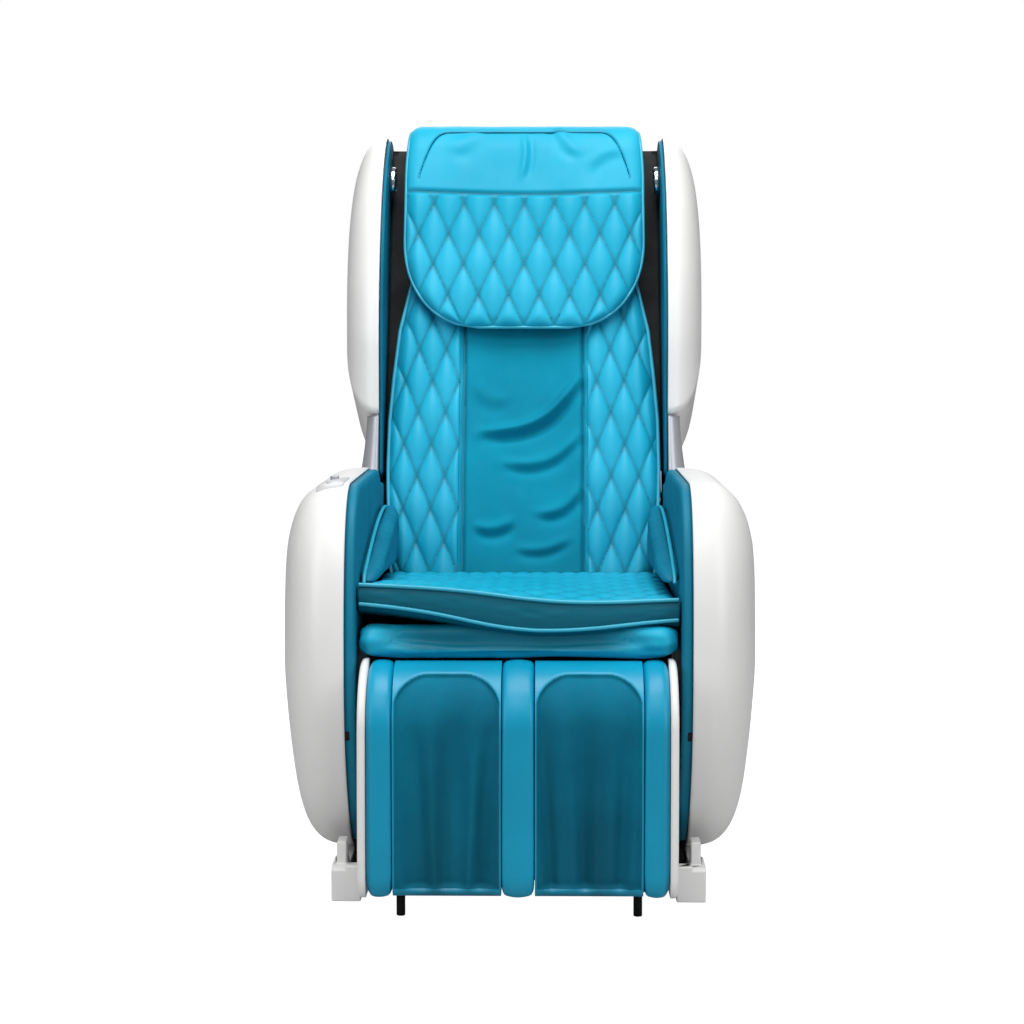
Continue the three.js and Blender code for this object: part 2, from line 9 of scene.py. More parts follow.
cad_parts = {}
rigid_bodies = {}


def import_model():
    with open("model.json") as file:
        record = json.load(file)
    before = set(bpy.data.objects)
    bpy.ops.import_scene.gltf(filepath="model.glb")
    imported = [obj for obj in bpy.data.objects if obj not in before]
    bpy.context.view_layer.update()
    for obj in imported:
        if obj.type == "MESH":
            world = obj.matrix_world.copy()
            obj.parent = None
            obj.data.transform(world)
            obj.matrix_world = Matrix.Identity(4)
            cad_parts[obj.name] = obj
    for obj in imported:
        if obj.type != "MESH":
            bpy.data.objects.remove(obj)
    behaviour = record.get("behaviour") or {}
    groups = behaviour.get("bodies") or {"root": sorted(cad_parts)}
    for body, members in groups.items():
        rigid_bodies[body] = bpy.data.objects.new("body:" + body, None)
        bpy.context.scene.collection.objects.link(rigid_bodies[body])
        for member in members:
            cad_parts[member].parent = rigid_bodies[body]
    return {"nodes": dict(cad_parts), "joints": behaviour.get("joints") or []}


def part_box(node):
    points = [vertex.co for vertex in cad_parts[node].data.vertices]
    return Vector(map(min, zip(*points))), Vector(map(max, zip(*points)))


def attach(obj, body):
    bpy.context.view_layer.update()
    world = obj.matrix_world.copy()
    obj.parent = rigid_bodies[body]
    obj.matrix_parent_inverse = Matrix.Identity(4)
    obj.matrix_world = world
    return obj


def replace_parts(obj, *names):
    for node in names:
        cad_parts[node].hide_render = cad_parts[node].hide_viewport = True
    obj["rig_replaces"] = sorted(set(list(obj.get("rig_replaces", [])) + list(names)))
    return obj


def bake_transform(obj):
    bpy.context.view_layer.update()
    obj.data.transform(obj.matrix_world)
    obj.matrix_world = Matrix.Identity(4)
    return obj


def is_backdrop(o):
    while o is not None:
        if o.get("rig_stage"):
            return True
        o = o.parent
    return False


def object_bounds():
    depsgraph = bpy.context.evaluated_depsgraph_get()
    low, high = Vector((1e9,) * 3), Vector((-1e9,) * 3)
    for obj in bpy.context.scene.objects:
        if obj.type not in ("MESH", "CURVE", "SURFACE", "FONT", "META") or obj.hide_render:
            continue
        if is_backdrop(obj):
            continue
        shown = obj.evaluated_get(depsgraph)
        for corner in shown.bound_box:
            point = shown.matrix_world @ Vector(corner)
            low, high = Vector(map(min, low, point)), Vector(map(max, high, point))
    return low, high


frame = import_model()
cad_box = [list(corner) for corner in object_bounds()]
joints = {j["name"]: j for j in frame["joints"]}
recline_axis = Vector(joints["back_recline"]["pos_m"])
leg_axis = Vector(joints["calf_lift"]["pos_m"])

# ---------------------------------------------------------------------------------------------
# Camera and staging. The chair is seen from straight in front and a little above, with a long
# lens, on a plain white sweep under large soft lights.
# ---------------------------------------------------------------------------------------------
scene = bpy.context.scene
scene.view_settings.view_transform = "Standard"

lens = bpy.data.cameras.new("camera")
lens.sensor_width = 36
lens.lens = 83.6
camera = bpy.data.objects.new("camera", lens)
scene.collection.objects.link(camera)
scene.camera = camera
seat_middle = recline_axis.y - 0.13
camera.location = (0.04, seat_middle - 3.5, 0.8)
aim = Vector((-0.015, seat_middle, 0.5225))
camera.rotation_euler = (aim - camera.location).to_track_quat("-Z", "Y").to_euler()


def soft_light(name, place, size, watts, target=(0, 0, 0.5)):
    data = bpy.data.lights.new(name, "AREA")
    data.shape = "RECTANGLE"
    data.size, data.size_y = size
    data.energy = watts
    light = bpy.data.objects.new(name, data)
    light.location = place
    light.rotation_euler = (Vector(target) - Vector(place)).to_track_quat("-Z", "Y").to_euler()
    scene.collection.objects.link(light)


soft_light("overhead_light", (0.1, -0.8, 3.3), (2.2, 1.6), 78)
soft_light("front_light", (-0.2, -3.2, 3.3), (2.4, 1.4), 34)
soft_light("right_light", (2.5, -2.2, 1.5), (1.2, 2.2), 28)
soft_light("left_light", (-2.5, -2.0, 1.5), (1.2, 2.2), 25)
soft_light("rear_light", (0.0, 3.0, 2.4), (2.4, 1.6), 26)


def bright_to_camera(tree, seen, cast):
    """A value that is high where the camera looks and lower for the light it casts."""
    path = tree.nodes.new("ShaderNodeLightPath")
    blend = tree.nodes.new("ShaderNodeMapRange")
    blend.inputs["To Min"].default_value, blend.inputs["To Max"].default_value = cast, seen
    tree.links.new(path.outputs["Is Camera Ray"], blend.inputs["Value"])
    return blend.outputs["Result"]


world = bpy.data.worlds.new("studio")
world.use_nodes = True
sky = world.node_tree.nodes["Background"]
sky.inputs["Color"].default_value = (1, 1, 1, 1)
world.node_tree.links.new(bright_to_camera(world.node_tree, 1.0, 0.24), sky.inputs["Strength"])
scene.world = world

floor_mesh = bpy.data.meshes.new("floor")
reach = 14
floor_mesh.from_pydata([(-reach, -reach, 0), (reach, -reach, 0), (reach, reach, 0), (-reach, reach, 0)],
                       [], [(0, 1, 2, 3)])
floor = bpy.data.objects.new("floor", floor_mesh)
scene.collection.objects.link(floor)
floor_paint = bpy.data.materials.new("floor_paint")
floor_paint.use_nodes = True
floor_surface = floor_paint.node_tree.nodes["Principled BSDF"]
floor_surface.inputs["Base Color"].default_value = (0.42, 0.42, 0.42, 1)
floor_surface.inputs["Roughness"].default_value = 0.9
floor_surface.inputs["Emission Color"].default_value = (1, 1, 1, 1)
floor_paint.node_tree.links.new(bright_to_camera(floor_paint.node_tree, 1.0, 0.0),
                                floor_surface.inputs["Emission Strength"])
floor_mesh.materials.append(floor_paint)
floor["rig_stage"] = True

# ---------------------------------------------------------------------------------------------
# Arm shells: one deep white gloss moulding on each side, shaped like a rounded D. The open side
# faces the seat and ends in a rolled lip; the rear edge is an arc about the recline axis.
# ---------------------------------------------------------------------------------------------


def group(name, inputs, outputs):
    tree = bpy.data.node_groups.new(name, "ShaderNodeTree")
    for label, kind, value in inputs:
        socket = tree.interface.new_socket(label, in_out="INPUT", socket_type=kind)
        if value is not None:
            socket.default_value = value
    for label in outputs:
        tree.interface.new_socket(label, in_out="OUTPUT", socket_type="NodeSocketFloat")
    return tree, tree.nodes.new("NodeGroupInput"), tree.nodes.new("NodeGroupOutput")


def math_node(tree, operation, a, b=None, clamp=False):
    node = tree.nodes.new("ShaderNodeMath")
    node.operation = operation
    node.use_clamp = clamp
    for socket, value in zip(node.inputs, (a, b)):
        if value is None:
            continue
        if isinstance(value, (int, float)):
            socket.default_value = value
        else:
            tree.links.new(value, socket)
    return node.outputs[0]


def noise_node(tree, vector, scale, detail=3.0):
    node = tree.nodes.new("ShaderNodeTexNoise")
    node.inputs["Detail"].default_value = detail
    tree.links.new(vector, node.inputs["Vector"])
    if isinstance(scale, (int, float)):
        node.inputs["Scale"].default_value = scale
    else:
        tree.links.new(scale, node.inputs["Scale"])
    return node.outputs["Fac"]


# Moulded skin: a faint ripple from the mould or the spray gun, and handling marks in the gloss.
skin, skin_in, skin_out = group("moulded_skin", [("Vector", "NodeSocketVector", None),
                                          ("Ripple Scale", "NodeSocketFloat", 90.0)],
                         ["Height", "Tone", "Gloss"])
ripples = noise_node(skin, skin_in.outputs["Vector"], skin_in.outputs["Ripple Scale"], 2.0)
skin.links.new(ripples, skin_out.inputs["Height"])
skin.links.new(noise_node(skin, skin_in.outputs["Vector"], 4.0, 4.0), skin_out.inputs["Tone"])
skin.links.new(noise_node(skin, skin_in.outputs["Vector"], 16.0, 6.0), skin_out.inputs["Gloss"])


def finish(name, effect, scale, dark, light, gloss, bump, depth, seam=0.0, **constants):
    """A Principled material: colour, roughness and bump vary through the effect's group. When a shade
    strength is given, the colour is also darkened by a per-point attribute: painted shade.
    """
    material = bpy.data.materials.new(name)
    material.use_nodes = True
    tree = material.node_tree
    surface = tree.nodes["Principled BSDF"]
    place = tree.nodes.new("ShaderNodeTexCoord")
    source = tree.nodes.new("ShaderNodeGroup")
    source.node_tree = effect
    tree.links.new(place.outputs["Object"], source.inputs["Vector"])
    source.inputs[1].default_value = scale
    colour = tree.nodes.new("ShaderNodeMix")
    colour.data_type = "RGBA"
    colour.inputs["A"].default_value = (*dark, 1)
    colour.inputs["B"].default_value = (*light, 1)
    tone = tree.nodes.new("ShaderNodeMapRange")
    tone.inputs["From Min"].default_value, tone.inputs["From Max"].default_value = 0.3, 0.7
    tree.links.new(source.outputs["Tone"], tone.inputs["Value"])
    tree.links.new(tone.outputs["Result"], colour.inputs["Factor"])
    result = colour.outputs["Result"]
    # Painted shade: the colour is mixed toward a dark tone of itself by the per-point attribute, which marks
    # seams, creases, recesses and low parts.
    if seam:
        crease = tree.nodes.new("ShaderNodeAttribute")
        crease.attribute_name = "seam"
        darker = tree.nodes.new("ShaderNodeMix")
        darker.data_type = "RGBA"
        darker.inputs["B"].default_value = tuple(0.28 * c for c in dark) + (1,)
        tree.links.new(math_node(tree, "MULTIPLY", crease.outputs["Fac"], seam), darker.inputs["Factor"])
        tree.links.new(result, darker.inputs["A"])
        result = darker.outputs["Result"]
    tree.links.new(result, surface.inputs["Base Color"])
    rough = tree.nodes.new("ShaderNodeMapRange")
    rough.inputs["From Min"].default_value, rough.inputs["From Max"].default_value = 0.3, 0.7
    rough.inputs["To Min"].default_value, rough.inputs["To Max"].default_value = gloss
    tree.links.new(source.outputs["Gloss"], rough.inputs["Value"])
    tree.links.new(rough.outputs["Result"], surface.inputs["Roughness"])
    relief = tree.nodes.new("ShaderNodeBump")
    relief.inputs["Strength"].default_value = bump
    relief.inputs["Distance"].default_value = depth
    tree.links.new(source.outputs["Height"], relief.inputs["Height"])
    tree.links.new(relief.outputs["Normal"], surface.inputs["Normal"])
    for label, value in constants.items():
        surface.inputs[label.replace("_", " ")].default_value = value
    return material


white_gloss = finish("white_gloss", skin, 70, (0.78, 0.775, 0.77), (0.82, 0.815, 0.81), (0.32, 0.4),
                     0.03, 0.0006, Coat_Weight=0.12, Coat_Roughness=0.2)


def new_piece(name, vertices, faces, materials):
    mesh = bpy.data.meshes.new(name)
    mesh.from_pydata([tuple(v) for v in vertices], [], [tuple(f) for f in faces])
    for material in materials:
        mesh.materials.append(material)
    mesh.polygons.foreach_set("use_smooth", [True] * len(mesh.polygons))
    piece = bpy.data.objects.new(name, mesh)
    scene.collection.objects.link(piece)
    return piece


def settle(piece, body, node=None):
    """Declares a finished piece: the node it stands for and its body."""
    if node:
        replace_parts(piece, node)
    if body:
        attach(piece, body)


def face_out(piece):
    """Merges doubled points and turns every face outwards."""
    work = bmesh.new()
    work.from_mesh(piece.data)
    bmesh.ops.remove_doubles(work, verts=work.verts, dist=1e-6)
    bmesh.ops.recalc_face_normals(work, faces=work.faces)
    work.to_mesh(piece.data)
    work.free()
    return piece


def apply_modifiers(piece):
    """Bakes the piece's modifiers into its own mesh."""
    evaluated = piece.evaluated_get(bpy.context.evaluated_depsgraph_get())
    done = bpy.data.meshes.new_from_object(evaluated)
    piece.modifiers.clear()
    piece.data = done
    return piece


def trace(*stretches):
    """Points along lines, arcs and Bezier curves, evenly spread. A stretch is ("line", a, b),
    ("bezier", a, b, c[, d]) or ("arc", centre, radius, from, to) in degrees."""
    points = []
    for kind, *given in stretches:
        if kind == "line":
            a, b = map(np.array, given)
            points += [a + (b - a) * t for t in np.linspace(0, 1, 40)]
        elif kind == "arc":
            centre, radius, start, end = given
            for angle in np.radians(np.linspace(start, end, 80)):
                points.append(np.array(centre) + radius * np.array([math.cos(angle), math.sin(angle)]))
        else:
            for t in np.linspace(0, 1, 60):
                level = [np.array(p, float) for p in given]
                while len(level) > 1:
                    level = [a + (b - a) * t for a, b in zip(level, level[1:])]
                points.append(level[0])
    return np.array(points)


def spread(points, count, closed=True):
    """The same outline with count points at equal distances."""
    if closed:
        points = np.vstack([points, points[:1]])
    steps = np.r_[0, np.cumsum(np.linalg.norm(np.diff(points, axis=0), axis=1))]
    at = np.linspace(0, steps[-1], count, endpoint=not closed)
    return np.column_stack([np.interp(at, steps, points[:, k]) for k in range(points.shape[1])])


def ring_loft(name, rings, materials):
    """A skin over closed rings with equal counts, with a point fan at each end."""
    count = len(rings[0])
    vertices = [p for ring in rings for p in ring]
    faces = []
    for k in range(len(rings) - 1):
        for i in range(count):
            j = (i + 1) % count
            faces.append((k * count + i, k * count + j, (k + 1) * count + j, (k + 1) * count + i))
    for start in (0, (len(rings) - 1) * count):
        vertices.append(np.mean(vertices[start:start + count], axis=0))
        hub = len(vertices) - 1
        faces += [(start + i, start + (i + 1) % count, hub) for i in range(count)]
    return face_out(new_piece(name, vertices, faces, materials))


def dome_shell(name, side, outline, centre, inner_x, depth, bulge, wall, material, place):
    """A walled dome over an outline: bulge holds the two powers of its profile."""
    shrink, rise = bulge
    heights = np.sin(np.linspace(0, math.pi / 2, 30)) ** 1.15
    outline = np.asarray(outline)
    centre = np.asarray(centre)
    size = np.abs(outline - centre).max()

    def ring(x, scale):
        return [place(side * x, *(centre + (p - centre) * scale)) for p in outline]

    rings = []
    for f in heights[:-1]:
        scale = (1 - f ** rise) ** (1 / shrink)
        rings.append(ring(inner_x + 0.0025 + f * (depth - 0.0025), scale))
    rings.append(ring(inner_x + depth, 0.02))
    lip = [ring(inner_x + 0.0007, 1 - 0.0008 / size), ring(inner_x, 1 - 0.0025 / size),
           ring(inner_x + 0.0004, 1 - wall * 0.8 / size)]
    inside = []
    for f in heights[:-1:3]:
        scale = (1 - f ** rise) ** (1 / shrink) - wall / size
        inside.append(ring(inner_x + 0.002 + f * (depth - wall - 0.002), max(scale, 0.03)))
    return ring_loft(name, inside[::-1] + lip[::-1] + rings, [material])


def on_base(x, y, z):
    return (x, y, z)


def arm_outline(count):
    low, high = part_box("arm_shell_left")
    y0, z0 = recline_axis.y, recline_axis.z
    top, bottom, front = high.z, low.z, low.y
    radius = 0.215
    from_, to = 100, -45
    a = (y0 + radius * math.cos(math.radians(from_)), z0 + radius * math.sin(math.radians(from_)))
    b = (y0 + radius * math.cos(math.radians(to)), z0 + radius * math.sin(math.radians(to)))
    f = front
    return spread(trace(
        ("line", (f + 0.13, top), (y0 - 0.11, top)),
        ("bezier", (y0 - 0.11, top), (y0 - 0.068, top), a),
        ("arc", (y0, z0), radius, from_, to),
        ("bezier", b, (y0 + 0.105, 0.14), (y0 + 0.05, bottom), (y0 - 0.04, bottom)),
        ("line", (y0 - 0.04, bottom), (f + 0.2, bottom)),
        ("bezier", (f + 0.2, bottom), (f + 0.1, bottom), (f, 0.2), (f, 0.33)),
        ("bezier", (f, 0.33), (f, 0.48), (f + 0.03, top), (f + 0.13, top))), count)


arm_centre = (recline_axis.y - 0.172, 0.335)
arm_rim, arm_bulge, wall = 0.228, (4.4, 2.9), 0.004
arm_taper = ((0.078, 0.143, 0.211, 0.279, 0.34, 0.5, 0.55), (0.9, 0.91, 0.93, 0.965, 1, 1, 0.97))
sides = (("left", -1), ("right", 1))
for word, side in sides:
    low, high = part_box("arm_shell_" + word)
    depth = high.x - low.x
    shell = dome_shell(f"{word}_arm_moulding", side, arm_outline(150), arm_centre, arm_rim, depth,
                       arm_bulge, wall, white_gloss, on_base)
    for vertex in shell.data.vertices:
        proud = abs(vertex.co.x) - arm_rim
        vertex.co.x = side * (arm_rim + proud * float(np.interp(vertex.co.z, *arm_taper)))
    settle(shell, "base", "arm_shell_" + word)

# ---------------------------------------------------------------------------------------------
# Arm liners: padded panels in teal leather, stretched over a board and clipped inside each arm
# shell. Their edges roll back all round, and the two shafts pass through them.
# ---------------------------------------------------------------------------------------------
# Leather: small raised pebbles with creases between them, and slow changes of tone.
grain, gin, gout = group("leather_grain", [("Vector", "NodeSocketVector", None),
                                           ("Pebble Scale", "NodeSocketFloat", 900.0)],
                         ["Height", "Tone", "Gloss"])
pebble = grain.nodes.new("ShaderNodeTexVoronoi")
pebble.feature = "SMOOTH_F1"
grain.links.new(gin.outputs["Vector"], pebble.inputs["Vector"])
grain.links.new(gin.outputs["Pebble Scale"], pebble.inputs["Scale"])
fine = noise_node(grain, gin.outputs["Vector"], 260.0)
hide = math_node(grain, "SUBTRACT", 1.0, pebble.outputs["Distance"])
pebbles = math_node(grain, "ADD", hide, math_node(grain, "MULTIPLY", fine, 0.6))
grain.links.new(pebbles, gout.inputs["Height"])
grain.links.new(noise_node(grain, gin.outputs["Vector"], 6.0, 5.0), gout.inputs["Tone"])
grain.links.new(noise_node(grain, gin.outputs["Vector"], 35.0, 4.0), gout.inputs["Gloss"])
lining = finish("teal_lining", grain, 700, (0.0, 0.15, 0.25), (0.001, 0.2, 0.32), (0.5, 0.62),
                0.3, 0.0005, Specular_IOR_Level=0.25)


def padded_board(name, outline, inner_x, outer_x, side, roll, material, place, lip=()):
    """A flat board with rolled edges: the face towards the seat is at inner_x. A lip is pairs of a
    scale of the outline and a distance, from the middle of its back out to its edge."""
    outline = np.asarray(outline)
    ahead = np.roll(outline, -1, 0) - np.roll(outline, 1, 0)
    inward = np.column_stack([-ahead[:, 1], ahead[:, 0]])
    inward /= np.linalg.norm(inward, axis=1)[:, None]
    area = np.cross(outline, np.roll(outline, -1, 0)).sum()
    inward *= 1 if area > 0 else -1
    thick = outer_x - inner_x
    rings = [[place(side * x, *(np.array(arm_centre) + (p - np.array(arm_centre)) * scale))
              for p in outline] for scale, x in lip]
    rings += [[place(side * outer_x, *p) for p in (outline if lip else outline + inward * roll * 0.2)],
              [place(side * (outer_x - 0.3 * thick), *p) for p in outline]]
    for angle in np.linspace(0, math.pi / 2, 7):
        rings.append([place(side * (inner_x + 0.6 * thick * (1 - math.sin(angle))), *p)
                      for p in outline + inward * roll * (1 - math.cos(angle))])
    middle = outline.mean(0)
    for scale in (0.9, 0.7, 0.45, 0.2):
        rings.append([place(side * inner_x, *(middle + (p - middle) * scale))
                      for p in outline + inward * roll])
    return ring_loft(name, rings, [material])


for word, side in sides:
    low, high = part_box("arm_liner_" + word)
    outline = np.array(arm_centre) + (arm_outline(120) - np.array(arm_centre)) * 0.988
    near, far = sorted((abs(low.x), abs(high.x)))
    liner = padded_board(f"{word}_arm_lining", outline, near, far, side, 0.009, lining, on_base,
                         lip=((0.95, far), (0.977, far), (0.984, 0.2278), (1, 0.2278)))
    settle(liner, "base", "arm_liner_" + word)

# ---------------------------------------------------------------------------------------------
# Seams and piping, used on all the upholstery: a round cord in a leather sleeve along an edge,
# and rows of short stitches. Both follow a line of points and are made by Geometry Nodes.
# ---------------------------------------------------------------------------------------------
# Knit: crossed ribs finer than a millimetre, with a slow mottling.
knit, kin, kout = group("fine_knit", [("Vector", "NodeSocketVector", None),
                                      ("Rib Scale", "NodeSocketFloat", 4200.0)],
                        ["Height", "Tone", "Gloss"])
parts = knit.nodes.new("ShaderNodeSeparateXYZ")
knit.links.new(kin.outputs["Vector"], parts.inputs[0])
ribs = []
for axis in ("X", "Z"):
    phase = math_node(knit, "MULTIPLY", parts.outputs[axis], kin.outputs["Rib Scale"])
    ribs.append(math_node(knit, "SINE", phase))
knit.links.new(math_node(knit, "MULTIPLY", ribs[0], ribs[1]), kout.inputs["Height"])
knit.links.new(noise_node(knit, kin.outputs["Vector"], 9.0, 5.0), kout.inputs["Tone"])
knit.links.new(noise_node(knit, kin.outputs["Vector"], 60.0, 3.0), kout.inputs["Gloss"])
piping_leather = finish("piping_leather", grain, 1400, (0.02, 0.36, 0.52), (0.04, 0.44, 0.6),
                        (0.35, 0.45), 0.2, 0.0002)
thread = finish("thread", knit, 9000, (0.0, 0.09, 0.16), (0.0, 0.14, 0.23), (0.8, 0.9), 0.4, 0.0001,
                Specular_IOR_Level=0.05)


def node_tree(name, inputs):
    tree = bpy.data.node_groups.new(name, "GeometryNodeTree")
    tree.interface.new_socket("Geometry", in_out="INPUT", socket_type="NodeSocketGeometry")
    tree.interface.new_socket("Geometry", in_out="OUTPUT", socket_type="NodeSocketGeometry")
    keys = {}
    for label, kind in inputs:
        keys[label] = tree.interface.new_socket(label, in_out="INPUT", socket_type=kind).identifier
    return tree, tree.nodes.new("NodeGroupInput"), tree.nodes.new("NodeGroupOutput"), keys


def add_node(tree, kind, links=(), **settings):
    """A node with its attributes set, and (socket name, source or value) pairs for its inputs."""
    node = tree.nodes.new(kind)
    for label, value in settings.items():
        setattr(node, label, value)
    for label, value in links:
        if isinstance(value, bpy.types.NodeSocket):
            tree.links.new(value, node.inputs[label])
        else:
            node.inputs[label].default_value = value
    return node


def close_tree(tree, geometry, material, out):
    real = add_node(tree, "GeometryNodeRealizeInstances", [("Geometry", geometry)])
    coat = add_node(tree, "GeometryNodeSetMaterial",
                    [("Geometry", real.outputs[0]), ("Material", material)])
    tree.links.new(coat.outputs[0], out.inputs[0])


cord_tree, cin, cout, CORD = node_tree("piping_cord", [("Radius", "NodeSocketFloat"),
                                                       ("Material", "NodeSocketMaterial")])
line = add_node(cord_tree, "GeometryNodeMeshToCurve", [("Mesh", cin.outputs["Geometry"])])
section = add_node(cord_tree, "GeometryNodeCurvePrimitiveCircle",
                   [("Resolution", 8), ("Radius", cin.outputs["Radius"])])
tube = add_node(cord_tree, "GeometryNodeCurveToMesh",
                [("Curve", line.outputs[0]), ("Profile Curve", section.outputs[0]), ("Fill Caps", True)])
smooth = add_node(cord_tree, "GeometryNodeSetShadeSmooth", [("Geometry", tube.outputs[0])])
close_tree(cord_tree, smooth.outputs[0], cin.outputs["Material"], cout)

stitch_tree, tin, tout, STITCH = node_tree("stitch_rows", [
    ("Pitch", "NodeSocketFloat"), ("Length", "NodeSocketFloat"), ("Thread", "NodeSocketFloat"),
    ("Material", "NodeSocketMaterial")])
line = add_node(stitch_tree, "GeometryNodeMeshToCurve", [("Mesh", tin.outputs["Geometry"])])
row = add_node(stitch_tree, "GeometryNodeResampleCurve",
               [("Curve", line.outputs[0]), ("Length", tin.outputs["Pitch"])], mode="LENGTH")
bead = add_node(stitch_tree, "GeometryNodeMeshUVSphere", [("Segments", 6), ("Rings", 4), ("Radius", 1.0)])
size = add_node(stitch_tree, "ShaderNodeCombineXYZ",
                [("X", tin.outputs["Thread"]), ("Y", tin.outputs["Thread"]), ("Z", tin.outputs["Length"])])
tangent = add_node(stitch_tree, "GeometryNodeInputTangent")
turn = add_node(stitch_tree, "FunctionNodeAlignRotationToVector",
                [("Vector", tangent.outputs[0])], axis="Z")
sewn = add_node(stitch_tree, "GeometryNodeInstanceOnPoints",
                [("Points", row.outputs[0]), ("Instance", bead.outputs[0]),
                 ("Rotation", turn.outputs[0]), ("Scale", size.outputs[0])])
close_tree(stitch_tree, sewn.outputs[0], tin.outputs["Material"], tout)


def polylines(name, runs):
    vertices, edges = [], []
    for run in runs:
        start = len(vertices)
        vertices += [tuple(p) for p in run]
        edges += [(k, k + 1) for k in range(start, len(vertices) - 1)]
    mesh = bpy.data.meshes.new(name)
    mesh.from_pydata(vertices, edges, [])
    piece = bpy.data.objects.new(name, mesh)
    scene.collection.objects.link(piece)
    return piece


def grown(name, source, tree, values):
    """Runs a tree on an object and keeps the result as a plain mesh."""
    modifier = source.modifiers.new("grow", "NODES")
    modifier.node_group = tree
    for key, value in values.items():
        modifier[key] = value
    apply_modifiers(source)
    source.name = name
    return source


def piping(name, runs, radius, body, material=None):
    cord = grown(name, polylines(name, runs), cord_tree,
                 {CORD["Radius"]: radius, CORD["Material"]: material or piping_leather})
    settle(cord, body)
    return cord


def stitches(name, runs, body, pitch=0.0042, length=0.0016, thick=0.00042):
    rows = grown(name, polylines(name, runs), stitch_tree,
                 {STITCH["Pitch"]: pitch, STITCH["Length"]: length, STITCH["Thread"]: thick,
                  STITCH["Material"]: thread})
    settle(rows, body)
    return rows


# ---------------------------------------------------------------------------------------------
# Back pad: one upholstered foam pad, widest at the hips. A band down each side is leather quilted
# in tall diamonds, and the middle is loose stretch fabric that the rollers push against.
# ---------------------------------------------------------------------------------------------
leather = finish("teal_leather", grain, 900, (0.001, 0.34, 0.52), (0.018, 0.43, 0.64), (0.42, 0.54),
                 0.25, 0.0004, seam=0.8, Specular_IOR_Level=0.22)
panel_fabric = finish("back_fabric", knit, 4200, (0.0, 0.22, 0.34), (0.0, 0.28, 0.42), (0.75, 0.85),
                      0.35, 0.0003, seam=0.6, Specular_IOR_Level=0.15)
up = Vector(joints["carriage_travel"]["axis"])
rearward = Vector((0, up.z, -up.y))


def on_back(x, v, u):
    """A point from its place across the back, behind the recline axis and along the back."""
    return Vector((x, 0, 0)) + recline_axis + rearward * v + up * u


def quilt(across, along, width, height):
    """0 on the seams of a diamond lattice, 1 in the middle of a diamond."""
    a = across / width + along / height
    b = across / width - along / height
    return (np.abs(np.sin(math.pi * a)) * np.abs(np.sin(math.pi * b))) ** 0.5


def smoothstep(low, high, x):
    t = np.clip((x - low) / (high - low), 0, 1)
    return t * t * (3 - 2 * t)


def ease(count, tight=0.75):
    """0 to 1 in steps that are closer together near both ends."""
    even = np.linspace(0, 1, count)
    return (1 - tight) * even + tight * (1 - np.cos(math.pi * even)) / 2


def panel_grid(name, point, front, rear, across, along, materials, seam=None, zone=None):
    """A closed pad over a grid: point(s, t) is its middle surface and the direction it swells in,
    front and rear are how far it swells each way, and both are 0 on the rim."""
    s, t = np.meshgrid(across, along)
    rows, columns = s.shape
    places = [[point(a, b) for a, b in zip(sr, tr)] for sr, tr in zip(s, t)]
    middle = np.array([[tuple(p) for p, _ in row] for row in places])
    out = np.array([[tuple(n) for _, n in row] for row in places])
    face = middle + out * np.asarray(front)[..., None]
    behind = middle - out * np.asarray(rear)[..., None]
    index = np.arange(rows * columns).reshape(rows, columns)
    other = index.copy()
    inside = (slice(1, rows - 1), slice(1, columns - 1))
    other[inside] = rows * columns + np.arange((rows - 2) * (columns - 2)).reshape(rows - 2, columns - 2)
    vertices = np.vstack([face.reshape(-1, 3), behind[inside].reshape(-1, 3)])

    def quads(ids, flip):
        a, b, c, d = ids[:-1, :-1], ids[:-1, 1:], ids[1:, 1:], ids[1:, :-1]
        order = (a, d, c, b) if flip else (a, b, c, d)
        return np.stack([x.ravel() for x in order], 1)

    faces = np.vstack([quads(index, False), quads(other, True)])
    piece = new_piece(name, vertices.tolist(), faces.tolist(), materials)
    mark = piece.data.attributes.new("seam", "FLOAT", "POINT")
    values = np.zeros(len(vertices), np.float32)
    if seam is not None:
        values[:rows * columns] = np.asarray(seam).ravel()
    mark.data.foreach_set("value", values)
    if zone is not None:
        kinds = np.zeros(len(faces), np.int32)
        cells = np.asarray(zone)
        kinds[:(rows - 1) * (columns - 1)] = cells[:-1, :-1].ravel()
        piece.data.polygons.foreach_set("material_index", kinds)
    work = bmesh.new()
    work.from_mesh(piece.data)
    bmesh.ops.recalc_face_normals(work, faces=work.faces)
    work.to_mesh(piece.data)
    work.free()
    return piece


pad_low, pad_high = 0.022, 0.788
pad_front, pad_middle, pad_rear = -0.085, -0.052, -0.028
band_edge = 0.092
diamond = (0.0425, 0.104)
hips = [(0.02, 0.196), (0.08, 0.207), (0.225, 0.211), (0.3, 0.21), (0.37, 0.205), (0.45, 0.197),
        (0.532, 0.179), (0.64, 0.171), (0.79, 0.167)]


def pad_half(u):
    return np.interp(u, [h[0] for h in hips], [h[1] for h in hips])


def wrinkle(x, y, z=0.0, scale=1.0):
    return noise.noise(Vector((x * scale, y * scale, z)))


def fold(px, pu, start, end, reach, width, depth):
    """A soft fold line in the fabric between two points, deepest in its middle."""
    a, b = np.array(start), np.array(end)
    d = b - a
    length = np.hypot(*d)
    t = ((px - a[0]) * d[0] + (pu - a[1]) * d[1]) / length ** 2
    off = ((px - a[0]) * d[1] - (pu - a[1]) * d[0]) / length
    sag = reach * np.sin(math.pi * np.clip(t, 0, 1))
    along_fade = smoothstep(-0.15, 0.25, t) * smoothstep(1.15, 0.75, t)
    q = (off - sag) / width
    return depth * along_fade * (np.exp(-q * q) - 0.75 * np.exp(-(q - 1.6) ** 2))


